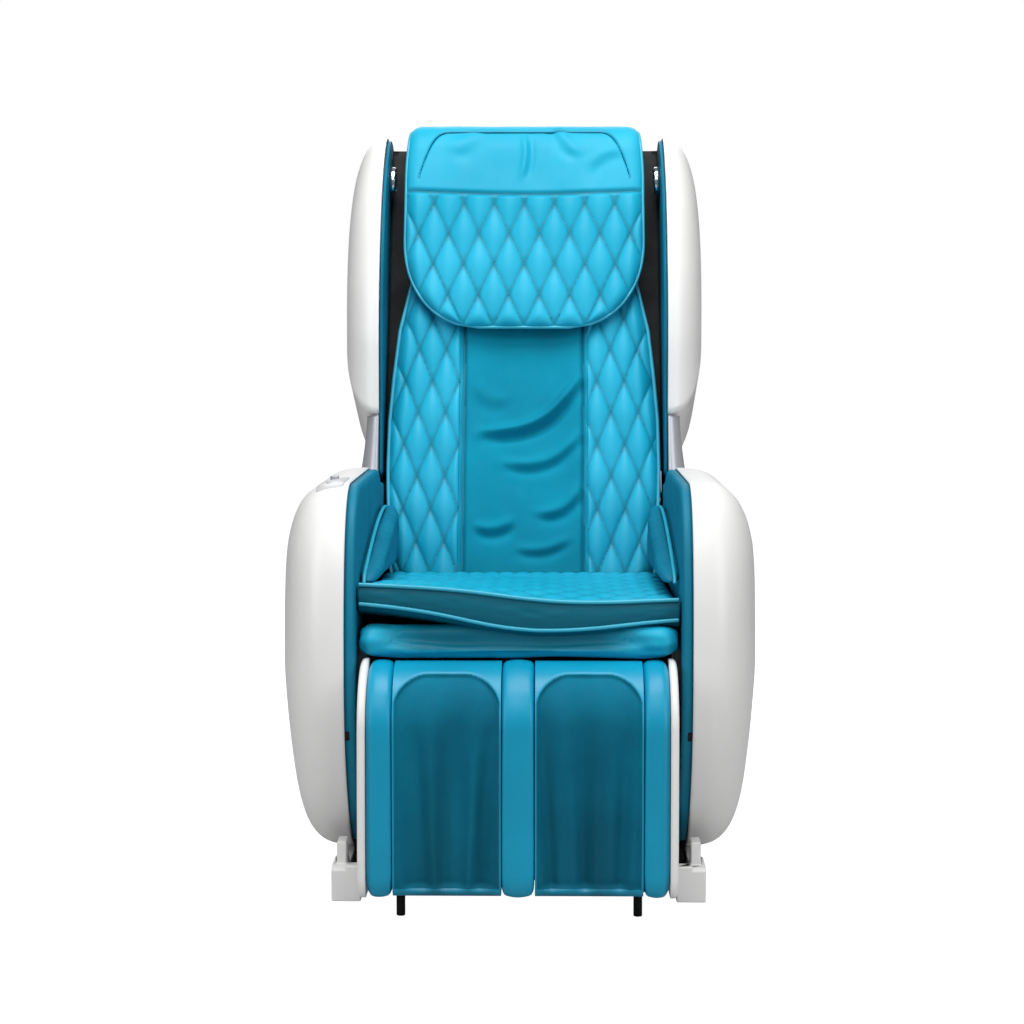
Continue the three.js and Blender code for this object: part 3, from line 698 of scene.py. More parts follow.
across, along = ease(190, 0.5), ease(330, 0.5)
S, T = np.meshgrid(across, along)
PU = pad_low + (pad_high - pad_low) * T
half = pad_half(PU)
corner = 0.05
half = half - 0.035 * (1 - smoothstep(0, corner, PU - pad_low)) ** 2
PX = (2 * S - 1) * half
rim = np.minimum(half - np.abs(PX), np.minimum(PU - pad_low, pad_high - PU))
crown = np.sqrt(np.clip(1 - (1 - np.clip(rim / 0.03, 0, 1)) ** 2, 0, 1))
band = smoothstep(band_edge + 0.001, band_edge + 0.012, np.abs(PX))
puff = quilt(PX - band_edge, PU, *diamond)
swell = (pad_middle - pad_front - 0.009) * crown + 0.009 * crown * puff * band
panel_dip = (1 - band) * 0.006 * smoothstep(band_edge, 0.03, np.abs(PX))
seam_groove = 0.006 * np.exp(-((np.abs(PX) - band_edge) / 0.0035) ** 2)
folds = sum(fold(PX, PU, *f) for f in (
    ((-0.064, 0.281), (0.084, 0.366), 0.026, 0.0085, 0.0125),
    ((-0.03, 0.232), (0.086, 0.277), 0.02, 0.0085, 0.0065),
    ((-0.074, 0.128), (-0.015, 0.14), 0.007, 0.009, 0.006),
    ((0.02, 0.15), (0.086, 0.19), 0.012, 0.009, 0.006),
    ((-0.01, 0.095), (0.07, 0.11), 0.008, 0.008, 0.004),
    ((-0.075, 0.36), (-0.02, 0.335), 0.01, 0.012, 0.003)))
ripple = np.array([[wrinkle(a, b, 0.0, 22.0) for a, b in zip(ra, rb)] for ra, rb in zip(PX, PU)])
swell = swell - seam_groove * crown - (1 - band) * (panel_dip - (folds + 0.0016 * ripple) * crown)
swell = np.clip(swell, 0, None)
# Painted shade on the back pad: darkest on the quilting seams and along the seam at the band's edge.
pad_seam_shade = np.maximum((1 - np.clip(puff * 2.2, 0, 1)) * band,
                      np.exp(-((np.abs(PX) - band_edge) / 0.003) ** 2))


def pad_point(s, t):
    u = pad_low + (pad_high - pad_low) * t
    h = float(pad_half(u)) - 0.035 * (1 - float(smoothstep(0, corner, u - pad_low))) ** 2
    return on_back((2 * s - 1) * h, pad_middle, u), -rearward


back_pad = panel_grid("back_cushion", pad_point, swell, (pad_rear - pad_middle) * crown, across, along,
                      [leather, panel_fabric], seam=pad_seam_shade * crown, zone=np.abs(PX) < band_edge)
settle(back_pad, "back", "back_pad")


def pad_height(x, u):
    """The pad's front, in the back's own measure, at a point on a quilted band or its edge."""
    h = float(pad_half(u))
    edge = min(h - abs(x), u - pad_low, pad_high - u)
    c = math.sqrt(max(0.0, 1 - (1 - min(max(edge / 0.03, 0), 1)) ** 2))
    q = float(quilt(np.array(x - band_edge), np.array(u), *diamond))
    on_band = float(smoothstep(band_edge + 0.001, band_edge + 0.012, abs(x)))
    return pad_middle - (pad_middle - pad_front - 0.009) * c - 0.009 * c * q * on_band


def lattice_runs(x0, x1, u0, u1, width, height, inside, surface, origin=0.0):
    """Seam lines of a diamond lattice, cut to the region that inside(x, u) gives."""
    runs = []
    reach_x = int((x1 - x0) / width + (u1 - u0) / height) + 4
    for sign in (1, -1):
        for k in range(-reach_x, reach_x):
            run = []
            for u in np.arange(u0, u1, 0.006):
                x = origin + width * (k - sign * u / height)
                if x0 < x < x1 and inside(x, u):
                    run.append(surface(x, u))
                elif len(run) > 1:
                    runs.append(run)
                    run = []
                else:
                    run = []
            if len(run) > 1:
                runs.append(run)
    return runs


quilt_runs = []
for side in (-1, 1):
    edges = (band_edge + 0.006, 0.212) if side > 0 else (-0.212, -band_edge - 0.006)
    quilt_runs += lattice_runs(*edges, 0.05, 0.765, *diamond,
                               lambda x, u: abs(x) < float(pad_half(u)) - 0.012,
                               lambda x, u: on_back(x, pad_height(x, u) - 0.0004, u), origin=band_edge)
stitches("back_quilting_thread", quilt_runs, "back", pitch=0.0046)
edge_runs = [[on_back(side * (band_edge + 0.007), pad_height(side * (band_edge + 0.007), u) - 0.0003, u)
              for u in np.arange(0.05, 0.765, 0.006)] for side in (-1, 1)]
stitches("back_panel_thread", edge_runs, "back")
rim_runs = []
for side in (-1, 1):
    rim_runs.append([on_back(side * (float(pad_half(u)) - 0.003), pad_front + 0.016, u)
                     for u in np.arange(0.05, 0.77, 0.01)])
piping("back_piping", rim_runs, 0.003, "back")

# ---------------------------------------------------------------------------------------------
# Head pillow: a quilted leather flap, thinly filled, that hangs over the top of the back. Its
# upper band is plain, the rest is quilted in diamonds, and a piped edge runs round its U shape.
# ---------------------------------------------------------------------------------------------
flap = spread(trace(("bezier", (-0.097, 0.445), (-0.1, 0.54), (-0.099, 0.64), (-0.098, 0.745)),
                    ("bezier", (-0.098, 0.745), (-0.096, 0.776), (-0.078, 0.793), (-0.05, 0.797)),
                    ("line", (-0.05, 0.797), (-0.018, 0.795))), 400, closed=False)
flap_steps = np.r_[0, np.cumsum(np.linalg.norm(np.diff(flap, axis=0), axis=1))]
flap_length = flap_steps[-1]
flap_slope = np.gradient(flap, axis=0)
flap_slope /= np.linalg.norm(flap_slope, axis=1)[:, None]


def on_flap(x, d, lift):
    """A point at x across and d up the flap from its lower edge, lifted off its middle surface."""
    v, u = (float(np.interp(d, flap_steps, flap[:, k])) for k in (0, 1))
    dv, du = (float(np.interp(d, flap_steps, flap_slope[:, k])) for k in (0, 1))
    return on_back(x, v - du * lift, u + dv * lift), rearward * -du + up * dv


def flap_half(d):
    """Half the width of the flap: round lower corners, then a slow widening, then a tuck."""
    corner = 0.15
    t = np.clip(d / corner, 0, 1)
    wide = 0.07 + 0.117 * np.sqrt(np.clip(1 - (1 - t) ** 2.3, 0, 1))
    return wide - 0.007 * smoothstep(flap_length - 0.16, flap_length - 0.02, d)


pillow_cell = (0.0475, 0.103)
band_start = 0.228
pillow_thick = 0.0155
across, along = ease(170, 0.5), ease(190, 0.5)
S, T = np.meshgrid(across, along)
PD = T * flap_length
half = flap_half(PD)
PX = (2 * S - 1) * half
rim = np.minimum(half - np.abs(PX), np.minimum(PD, flap_length - PD))
crown = np.sqrt(np.clip(1 - (1 - np.clip(rim / 0.02, 0, 1)) ** 2, 0, 1))
band_line = band_start - 0.006 * np.cos(PX * math.pi / 0.36)
quilted = smoothstep(band_line, band_line - 0.01, PD)
puff = quilt(PX, PD, *pillow_cell)
arch_line = 0.331 - 0.085 * (np.clip(np.abs(PX) - 0.118, 0, 1) / 0.05) ** 2.4
arch = np.exp(-((PD - arch_line) / 0.0026) ** 2) * (np.abs(PX) < 0.168)
seam_line = np.maximum(np.exp(-((PD - band_line) / 0.003) ** 2), arch)
creases = sum(fold(PX, PD, *f) for f in (
    ((-0.005, 0.25), (0.0, 0.32), 0.004, 0.006, 0.0035), ((0.05, 0.345), (0.09, 0.29), 0.006, 0.009, 0.003),
    ((-0.12, 0.3), (-0.07, 0.33), 0.004, 0.012, 0.0025), ((0.1, 0.27), (0.15, 0.3), -0.006, 0.01, 0.0025)))
ripple = np.array([[wrinkle(a, b, 3.0, 14.0) for a, b in zip(ra, rb)] for ra, rb in zip(PX, PD)])
plain = (1 - quilted) * (0.004 + creases + 0.0015 * ripple)
swell = crown * (pillow_thick - 0.0085 + quilted * 0.0085 * puff + plain)
swell = np.clip(swell - 0.004 * seam_line * crown, 0, None)
# Painted shade on the pillow: darkest on the quilting seams, the band seam and the arch seam.
pillow_seam_shade = np.maximum((1 - np.clip(puff * 2.2, 0, 1)) * quilted, seam_line) * crown


def flap_point(s, t):
    d = t * flap_length
    return on_flap((2 * s - 1) * float(flap_half(d)), d, 0)[0], on_flap(0, d, 0)[1]


pillow = panel_grid("neck_pillow", flap_point, swell, 0.008 * crown, across, along, [leather],
                    seam=pillow_seam_shade)
settle(pillow, None, "head_pillow")


def flap_height(x, d):
    edge = min(float(flap_half(d)) - abs(x), d, flap_length - d)
    c = math.sqrt(max(0.0, 1 - (1 - min(max(edge / 0.02, 0), 1)) ** 2))
    return c * (pillow_thick - 0.0085 + 0.0085 * float(quilt(np.array(x), np.array(d), *pillow_cell)))


def on_pillow(piece):
    """Bakes the piece's placement into its own mesh."""
    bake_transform(piece)


on_pillow(pillow)
quilt_rows = lattice_runs(-0.18, 0.18, 0.012, band_start - 0.006, *pillow_cell,
                          lambda x, d: abs(x) < float(flap_half(d)) - 0.01,
                          lambda x, d: on_flap(x, d, flap_height(x, d) + 0.0004)[0])
seam_rows = [[on_flap(x, band_start - 0.006 * math.cos(x * math.pi / 0.36) + shift,
                      pillow_thick - 0.0075)[0]
              for x in np.arange(-0.168, 0.169, 0.006)] for shift in (-0.005, 0.005)]
pillow_thread = grown("pillow_thread", polylines("pillow_thread", quilt_rows + seam_rows), stitch_tree,
                      {STITCH["Pitch"]: 0.0046, STITCH["Length"]: 0.0016, STITCH["Thread"]: 0.00042,
                       STITCH["Material"]: thread})
on_pillow(pillow_thread)
ring = [on_flap(-flap_half(d), d, 0.001)[0] for d in np.linspace(flap_length, 0, 70)]
ring += [on_flap(x, 0, 0.001)[0] for x in np.linspace(-0.07, 0.07, 30)[1:-1]]
ring += [on_flap(flap_half(d), d, 0.001)[0] for d in np.linspace(0, flap_length, 70)]
pillow_piping = grown("pillow_piping", polylines("pillow_piping", [ring]), cord_tree,
                      {CORD["Radius"]: 0.0028, CORD["Material"]: piping_leather})
on_pillow(pillow_piping)
bow = [on_flap(x, 0.331 - 0.085 * (max(abs(x) - 0.118, 0) / 0.05) ** 2.4, pillow_thick - 0.0068)[0]
       for x in np.linspace(-0.165, 0.165, 90)]
top_seam = grown("pillow_top_seam", polylines("pillow_top_seam", [bow]), cord_tree,
                 {CORD["Radius"]: 0.0011, CORD["Material"]: thread})
on_pillow(top_seam)

# ---------------------------------------------------------------------------------------------
# Seat cushion: a boxed cushion. The leather top is quilted in diamonds, a boxing strip runs
# round its front between two lines of piping, and the front edge sags where knees have pressed it.
# The strip and the underside are darkened by painted shade.
# ---------------------------------------------------------------------------------------------
seat_low, seat_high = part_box("seat_cushion")
seat_half = seat_high.x - 0.001
front_edge = [(-0.212, 0.459), (-0.075, 0.4515), (0.02, 0.4375), (0.1, 0.434), (0.212, 0.4395)]
lower_edge = [(-0.212, 0.4345), (-0.1, 0.4195), (-0.02, 0.399), (0.065, 0.3965), (0.212, 0.4135)]


def along_edge(table, x):
    """A smooth line through a few points of an edge."""
    xs, zs = [p[0] for p in table], [p[1] for p in table]
    near = [np.interp(x + d, xs, zs) for d in (-0.045, -0.02, 0, 0.02, 0.045)]
    return float(np.mean(near))


seat_cell = (0.046, 0.066)
seat_front, seat_back = seat_low.y + 0.006, seat_high.y


def seat_top(x, y):
    """Height of the seat's top before quilting."""
    t = (y - seat_front) / (seat_back - seat_front)
    edge = along_edge(front_edge, x)
    crown = 0.006 * math.sin(math.pi * min(max(t, 0), 1)) * (1 - (x / seat_half) ** 2)
    return edge + (0.43 - edge) * float(smoothstep(0, 0.8, t)) + crown


def seat_quilt(x, y):
    return float(quilt(np.array(x), np.array(y), *seat_cell))


columns = np.linspace(-seat_half, seat_half, 130)
depth_steps = seat_front + (seat_back - seat_front) * np.linspace(0, 1, 110) ** 1.3
rows, seam_rows = [], []
for x in columns:
    side_fade = min(1.0, (seat_half - abs(x)) / 0.012)
    side_drop = 0.012 * (1 - math.sqrt(max(0, 1 - (1 - side_fade) ** 2)))
    low_z, high_z = along_edge(lower_edge, x), along_edge(front_edge, x)
    under = seat_low.z + 0.0285
    profile, marks = [], []
    for y in depth_steps[::-1]:
        fade = min(1.0, (y - seat_front) / 0.02)
        puffed = 0.0055 * seat_quilt(x, y) * fade * side_fade
        profile.append((x, y, seat_top(x, y) - 0.0055 * fade + puffed - side_drop))
        # marks is painted shade: on the quilting seams here, and strong on the front strip and the underside
        # below.
        marks.append(max(0.0, 1 - 2.2 * seat_quilt(x, y)) * fade)
    for t in np.linspace(0, 1, 16)[1:]:
        bulge = -0.003 + 0.004 * math.sin(math.pi * t) + 0.0012 * wrinkle(x, t, 5.0, 30.0)
        profile.append((x, seat_front - bulge - 0.002, high_z + (low_z - high_z) * t - 0.001))
        marks.append(1.12)
    for y, z in ((seat_front + 0.01, low_z - 0.009), (seat_front + 0.05, max(under - 0.02, low_z - 0.02)),
                 (seat_back, seat_low.z + 0.006), (seat_back, 0.425)):
        profile.append((x, y, z))
        marks.append(1.1)
    rows.append(profile)
    seam_rows.append(marks)
cushion = ring_loft("seat_squab", rows, [leather])
mark = cushion.data.attributes.new("seam", "FLOAT", "POINT")
flat = np.array(seam_rows, np.float32).ravel()
points = np.array([v.co for v in cushion.data.vertices])
source = np.array([p for row in rows for p in row])
lookup = {tuple(np.round(p, 4)): m for p, m in zip(source, flat)}
mark.data.foreach_set("value", [lookup.get(tuple(np.round(p, 4)), 0.5) for p in points])
settle(cushion, "base", "seat_cushion")
piped = np.linspace(-seat_half + 0.002, seat_half - 0.002, 60)
piping("seat_piping", [[(x, seat_front - proud, along_edge(edge, x)) for x in piped]
                       for proud, edge in ((0.002, front_edge), (0.001, lower_edge))], 0.0026, "base")
stitches("seat_thread", lattice_runs(
    -seat_half + 0.008, seat_half - 0.008, seat_front + 0.012, seat_back - 0.01, *seat_cell,
    lambda x, y: True, lambda x, y: (x, y, seat_top(x, y) - 0.0053 + 0.0055 * seat_quilt(x, y))), "base",
    pitch=0.005)

# ---------------------------------------------------------------------------------------------
# Soft rolls: hip bolsters beside the sitter and the loose apron under the seat. Each is sewn from
# leather round soft filling, so it is swollen by a cloth simulation and then creased.
# ---------------------------------------------------------------------------------------------


def swell_cloth(piece, voxel, pressure, cap, frames=20):
    """Remeshes a closed piece and blows it up a little as cloth, moving no point beyond cap."""
    remesh = piece.modifiers.new("remesh", "REMESH")
    remesh.mode = "VOXEL"
    remesh.voxel_size = voxel
    apply_modifiers(piece)
    rest = np.array([v.co for v in piece.data.vertices])
    cloth = piece.modifiers.new("cloth", "CLOTH")
    cloth.settings.use_pressure = True
    cloth.settings.uniform_pressure_force = pressure
    cloth.settings.effector_weights.gravity = 0
    cloth.point_cache.frame_start, cloth.point_cache.frame_end = 1, frames
    for number in range(1, frames + 1):
        scene.frame_set(number)
    apply_modifiers(piece)
    scene.frame_set(1)
    now = np.array([v.co for v in piece.data.vertices])
    move = now - rest
    far = np.linalg.norm(move, axis=1)
    move *= np.minimum(1, cap / np.maximum(far, 1e-9))[:, None]
    piece.data.vertices.foreach_set("co", (rest + move).ravel())
    finer = piece.modifiers.new("finer", "SUBSURF")
    finer.levels = finer.render_levels = 1
    apply_modifiers(piece)
    piece.data.polygons.foreach_set("use_smooth", [True] * len(piece.data.polygons))
    return piece


def crease(piece, amount, scale, seed, stretch=(1, 1, 1)):
    """Soft irregular folds: moves each point along its normal by smooth noise."""
    points = [v.co.copy() for v in piece.data.vertices]
    for vertex, p in zip(piece.data.vertices, points):
        at = Vector((p.x * stretch[0] * scale, p.y * stretch[1] * scale + seed, p.z * stretch[2] * scale))
        value = noise.noise(at) + 0.5 * noise.noise(at * 2.1)
        vertex.co = p + vertex.normal * amount * (1 - 2.2 * abs(value))
    piece.data.update()


def shade(piece, rule):
    """Stores painted shade for each point from a rule, which the finish darkens: shade in folds, recesses
    and low parts.
    """
    mark = piece.data.attributes.new("seam", "FLOAT", "POINT")
    mark.data.foreach_set("value", [float(rule(*v.co)) for v in piece.data.vertices])


def lens_section(outline, half_x, middle_x, inset):
    """Rings for a closed roll: the outline, smaller towards both ends of its width."""
    outline = np.asarray(outline)
    centre = outline.mean(0)
    rings = []
    for t in np.linspace(-1, 1, 9):
        scale = 1 - inset * (abs(t) ** 3)
        rings.append([(middle_x + t * half_x, *(centre + (p - centre) * scale)) for p in outline])
    return rings


hip_low, hip_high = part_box("hip_bolster_right")
hy, hz = hip_low.y, hip_low.z
hip_top = [(hip_high.y - 0.024, hip_high.z - 0.002), (hip_high.y - 0.16, hip_high.z - 0.012),
           (hip_high.y - 0.3, hip_high.z - 0.036), (hy + 0.024, hz + 0.034)]
hip_outline = spread(trace(
    ("line", (hip_high.y - 0.041, hz + 0.004), (hip_high.y - 0.005, hip_high.z - 0.012)),
    ("bezier", (hip_high.y - 0.005, hip_high.z - 0.012), (hip_high.y - 0.008, hip_high.z), hip_top[0]),
    ("bezier", hip_top[0], hip_top[1], hip_top[2], hip_top[3]),
    ("bezier", hip_top[3], (hy + 0.002, hz + 0.024), (hy + 0.004, hz + 0.02)),
    ("line", (hy + 0.004, hz + 0.02), (hip_high.y - 0.041, hz + 0.004))), 90)
for word, side in sides:
    low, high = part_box("hip_bolster_" + word)
    middle = (low.x + high.x) / 2
    roll = lens_section(hip_outline, (high.x - low.x) / 2 - 0.001, middle, 0.08)
    # The bolsters are made in the darker lining leather to stand for the shade on them: painted shade.
    bolster = ring_loft(f"{word}_hip_cushion", roll, [lining])
    swell_cloth(bolster, 0.005, 3.0, 0.004)
    crease(bolster, 0.0012, 14, 2.0 + side)
    settle(bolster, "base", "hip_bolster_" + word)
    outer = side * 0.2075
    front_top = (hy + 0.03, hz + 0.034)
    hip_edge = trace(("bezier", (hip_high.y - 0.008, hip_high.z - 0.006),
                      (hip_high.y - 0.1, hip_high.z + 0.004),
                      (hip_high.y - 0.26, hip_high.z - 0.02), front_top),
                     ("bezier", front_top, (hy + 0.012, hz + 0.03), (hy + 0.008, hz + 0.02)))
    edge = [(outer, y, z + 0.001) for y, z in spread(hip_edge, 60, closed=False)]
    piping(f"{word}_hip_piping", [edge], 0.0026, "base")

apron_low, apron_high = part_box("seat_apron")
ay, az = (apron_low.y + apron_high.y) / 2, (apron_low.z + apron_high.z) / 2 - 0.0022
a_half, h_half = (apron_high.y - apron_low.y) / 2 - 0.002, (apron_high.z - apron_low.z) / 2 + 0.0005
apron_rings = []
for x in np.linspace(apron_low.x + 0.002, apron_high.x - 0.002, 60):
    end = 1 - 0.5 * max(0, (abs(x) - 0.19) / 0.02) ** 2
    lump = 1 + 0.07 * wrinkle(x, 0.0, 7.0, 18.0)
    tuck = 0.026 * float(smoothstep(0.2, 0.135, abs(x + 0.01)))
    ring = []
    for w in np.linspace(0, 2 * math.pi, 44)[:-1]:
        c, h = math.cos(w), math.sin(w)
        under = float(smoothstep(-0.78, -0.3, h)) * float(smoothstep(0.1, -0.5, c))
        ring.append((x, ay + a_half * end * c + tuck * under,
                     az + h_half * end * h * (lump if h > 0 else 1) * (1 - 0.12 * c)))
    apron_rings.append(ring)
apron = ring_loft("seat_skirt_roll", apron_rings, [leather])
swell_cloth(apron, 0.005, 2.5, 0.003)
crease(apron, 0.0035, 16, 4.0, stretch=(0.35, 1, 2.2))
# Painted shade: the middle of the roll is darkened, as if in the shadow of the seat's front.
shade(apron, lambda x, y, z: smoothstep(0.19, 0.11, abs(x + 0.01)) * smoothstep(0.3665, 0.374, z))
settle(apron, "base", "seat_apron")

# ---------------------------------------------------------------------------------------------
# Calf rest: padded side strips and a centre strip in smooth leather stand proud of two bays. Each
# bay is lined with stretch fabric that hangs loose over air bags, between white side covers.
# ---------------------------------------------------------------------------------------------
smooth_leather = finish("smooth_teal_leather", grain, 1100, (0.0, 0.26, 0.43), (0.0, 0.32, 0.52),
                        (0.34, 0.44), 0.2, 0.0003, seam=0.6, Specular_IOR_Level=0.36)
calf_fabric = finish("calf_fabric", knit, 4200, (0.0, 0.13, 0.22), (0.0, 0.19, 0.3), (0.7, 0.82),
                     0.35, 0.0003, seam=0.6, Specular_IOR_Level=0.15)
calf_low, calf_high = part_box("calf_divider")
calf_r = calf_high.z - leg_axis.z
calf_depth = leg_axis.y - calf_low.y
calf_drop = leg_axis.z - calf_low.z + 0.005
calf_back = calf_high.y - leg_axis.y


def calf_section(r, front, drop, count, back=calf_back):
    """The side view of the calf rest about its axis: round top, slightly full front."""
    start = math.degrees(math.acos(back / r))
    return spread(trace(
        ("line", (back, -drop + 0.012), (back, r * math.sin(math.radians(start)))),
        ("arc", (0, 0), r, start, 180),
        ("bezier", (-r, 0), (-front, -0.09), (-front + 0.002, -drop + 0.026)),
        ("bezier", (-front + 0.002, -drop + 0.026), (-front + 0.004, -drop), (-front + 0.026, -drop)),
        ("line", (-front + 0.026, -drop), (back - 0.016, -drop)),
        ("bezier", (back - 0.016, -drop), (back, -drop), (back, -drop + 0.012))), count)


def calf_strip(name, x0, x1, node, round_left, round_right):
    """A padded strip across x0 to x1, with rounded long edges where asked."""
    section = calf_section(calf_r, calf_depth, calf_drop, 130)
    centre = np.array([0, -0.05])
    rings = []
    for t in ease(17, 1.0):
        x = x0 + (x1 - x0) * t
        near_left, near_right = x - x0, x1 - x
        pull = 0.0
        for near, on in ((near_left, round_left), (near_right, round_right)):
            radius = 0.0055 if on else 0.009
            q = min(near / radius, 1)
            pull = max(pull, radius * (1 - math.sqrt(max(0, 1 - (1 - q) ** 2))))
        belly = 0.002 * math.sin(math.pi * t)
        grow = 1 - (pull - belly + 0.002) / 0.09
        rings.append([(x, leg_axis.y + y, leg_axis.z + z) for y, z in centre + (section - centre) * grow])
    strip = ring_loft(name, rings, [smooth_leather])
    settle(strip, "calf_rest", node)
    return strip


low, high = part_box("calf_divider")
calf_strip("calf_centre_strip", low.x, high.x, "calf_divider", True, True)
for word, side in sides:
    low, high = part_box("calf_bolster_" + word)
    calf_strip(f"{word}_calf_side_strip", low.x, high.x, "calf_bolster_" + word, side > 0, side < 0)

bay_top, bay_corner = 0.074, 0.046
for word, side in sides:
    low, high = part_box("calf_pad_" + word)
    middle, wide = (low.x + high.x) / 2, (high.x - low.x) / 2 - 0.0006
    section = calf_section(calf_r - 0.0015, calf_depth - 0.004, calf_drop - 0.001, 260)

    def opening(s, y, z):
        """1 inside the arched mouth of the bay, 0 on the leather round it."""
        into = np.clip((abs(s) * wide - (wide - bay_corner)) / bay_corner, 0, 1)
        arch = bay_top - bay_corner * (1 - math.sqrt(1 - min(float(into), 0.999) ** 2))
        edge = min(arch - z, (1 - abs(s)) * wide + 0.001, (z + calf_drop - 0.008) * 0.8)
        return float(smoothstep(0.0, 0.009, edge)) * float(smoothstep(-0.002, -0.02, y))

    rings = []
    for s in ease(110, 0.6) * 2 - 1:
        x = middle + wide * s
        ring = []
        for y, z in section:
            mouth = opening(s, y, z)
            fall = min(max((bay_top - z) / 0.28, 0), 1)
            # the cloth gathers towards the middle as it hangs
            gather = s * (1 + 0.5 * fall)
            ridge = 0.0048 * math.cos(gather * 7.0 + 0.7 * side) * smoothstep(0.02, 0.5, fall)
            ridge += 0.0022 * math.cos(gather * 13.0 + 1.3) * smoothstep(0.1, 0.7, fall)
            ridge *= 1 - abs(s) ** 6
            soft = 0.0022 * wrinkle(s * 1.6, fall * 1.5, side, 1.7)
            hollow = 0.004 + 0.021 * (1 - abs(s) ** 2.5) * math.sin(math.pi * min(1.0, 0.08 + fall * 0.8))
            depth = mouth * (hollow + ridge + soft)
            ring.append((x, leg_axis.y + y + float(depth), leg_axis.z + z))
        rings.append(ring)
    drape = ring_loft(f"{word}_calf_bay_lining", rings, [smooth_leather, calf_fabric])

    def bay_shade(x, y, z):
        """Painted shade: darker towards the foot, and in the folds between the ridges of the cloth."""
        y, z = y - leg_axis.y, z - leg_axis.z
        facing = smoothstep(-0.004, -0.03, y)
        return (0.75 * smoothstep(0.05, -0.2, z) * facing * (1 - abs((x - middle) / wide) ** 4)
                + 0.35 * abs(math.sin((x - middle) * 44 + side)) ** 3 * smoothstep(0.06, -0.05, z) * facing)

    shade(drape, bay_shade)
    kinds = [int(opening((f.center.x - middle) / wide, f.center.y - leg_axis.y,
                         f.center.z - leg_axis.z) > 0.3) for f in drape.data.polygons]
    drape.data.polygons.foreach_set("material_index", kinds)
    settle(drape, "calf_rest", "calf_pad_" + word)

# Side covers of the calf rest: white gloss mouldings, slightly domed, with a soft edge.
for word, side in sides:
    low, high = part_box("leg_side_cover_" + word)
    inner, outer = sorted((abs(low.x), abs(high.x)))
    section = calf_section(high.z - leg_axis.z, leg_axis.y - low.y, leg_axis.z - low.z + 0.005, 150,
                           back=high.y - leg_axis.y)
    rings = [[(side * inner, leg_axis.y + y, leg_axis.z + z) for y, z in section]]
    centre = np.array([-0.01, -0.06])
    steps = []
    for t in np.linspace(0, 1, 9):
        angle = t * math.pi / 2
        steps.append((inner + (outer - inner) * (0.45 + 0.55 * math.sin(angle)),
                      1 - 0.05 * (1 - math.cos(angle))))
    for x, scale in steps + [(outer, scale) for scale in (0.8, 0.5, 0.2)]:
        rings.append([(side * x, leg_axis.y + y, leg_axis.z + z)
                      for y, z in centre + (section - centre) * scale])
    cover = ring_loft(f"{word}_calf_side_cover", rings, [white_gloss])
    settle(cover, "calf_rest", "leg_side_cover_" + word)

# ---------------------------------------------------------------------------------------------
# Wing shells: the tall white gloss mouldings on either side of the back. Each is a shallow dome
# with a curved rear edge, and tucks into its arm shell at the bottom.
# ---------------------------------------------------------------------------------------------
wing_outline = spread(trace(
    ("line", (-0.112, 0.3), (-0.15, 0.4)),
    ("bezier", (-0.15, 0.4), (-0.166, 0.455), (-0.172, 0.49), (-0.172, 0.53)),
    ("bezier", (-0.172, 0.53), (-0.172, 0.62), (-0.158, 0.66), (-0.13, 0.712)),
    ("bezier", (-0.13, 0.712), (-0.1, 0.76), (-0.075, 0.8), (0.0, 0.804)),
    ("bezier", (0.0, 0.804), (0.075, 0.808), (0.104, 0.795), (0.125, 0.76)),
    ("bezier", (0.125, 0.76), (0.15, 0.71), (0.15, 0.62), (0.154, 0.5)),
    ("line", (0.154, 0.5), (0.149, 0.35)),
    ("bezier", (0.149, 0.35), (0.147, 0.32), (0.143, 0.305), (0.138, 0.3)),
    ("line", (0.138, 0.3), (-0.112, 0.3))), 170)
wing_centre, wing_rim, wing_depth, wing_bulge = (0, 0.55), 0.221, 0.059, (3.6, 2.05)
for word, side in sides:
    wing = dome_shell(f"{word}_wing_moulding", side, wing_outline, wing_centre, wing_rim, wing_depth,
                      wing_bulge, wall, white_gloss, on_back)
    settle(wing, "back", "wing_shell_" + word)

# ---------------------------------------------------------------------------------------------
# Wing liners: dark teal padded panels inside the wing shells, with a line of piping along the
# front edge, and a chrome rimmed speaker with a perforated cover near the sitter's ear.
# ---------------------------------------------------------------------------------------------
bright_chrome = finish("bright_chrome", skin, 300, (0.6, 0.6, 0.62), (0.75, 0.75, 0.77), (0.04, 0.12),
                       0.02, 0.0002, Metallic=1.0)
speaker_mesh = finish("speaker_mesh", knit, 5200, (0.01, 0.01, 0.012), (0.03, 0.03, 0.034),
                      (0.35, 0.5), 0.8, 0.0005)
wing_line = spread(trace(
    ("line", (-0.105, 0.304), (-0.143, 0.4)),
    ("bezier", (-0.143, 0.4), (-0.158, 0.45), (-0.165, 0.49), (-0.165, 0.53)),
    ("bezier", (-0.165, 0.53), (-0.165, 0.62), (-0.15, 0.66), (-0.125, 0.704)),
    ("bezier", (-0.125, 0.704), (-0.098, 0.75), (-0.075, 0.788), (-0.02, 0.796)),
    ("line", (-0.02, 0.796), (0.021, 0.798)),
    ("line", (0.021, 0.798), (0.021, 0.226)),
    ("line", (0.021, 0.226), (-0.08, 0.212)),
    ("line", (-0.08, 0.212), (-0.105, 0.304))), 220)
for word, side in sides:
    low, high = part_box("wing_liner_" + word)
    near, far = sorted((abs(low.x), abs(high.x)))
    panel = padded_board(f"{word}_wing_lining", wing_line, near, far, side, 0.007, lining, on_back)
    settle(panel, "back", "wing_liner_" + word)
    front = [on_back(side * (near + 0.0012), v + 0.0035, u) for v, u in wing_line[:130] if u > 0.31]
    piping(f"{word}_wing_piping", [front], 0.0016, "back", material=lining)

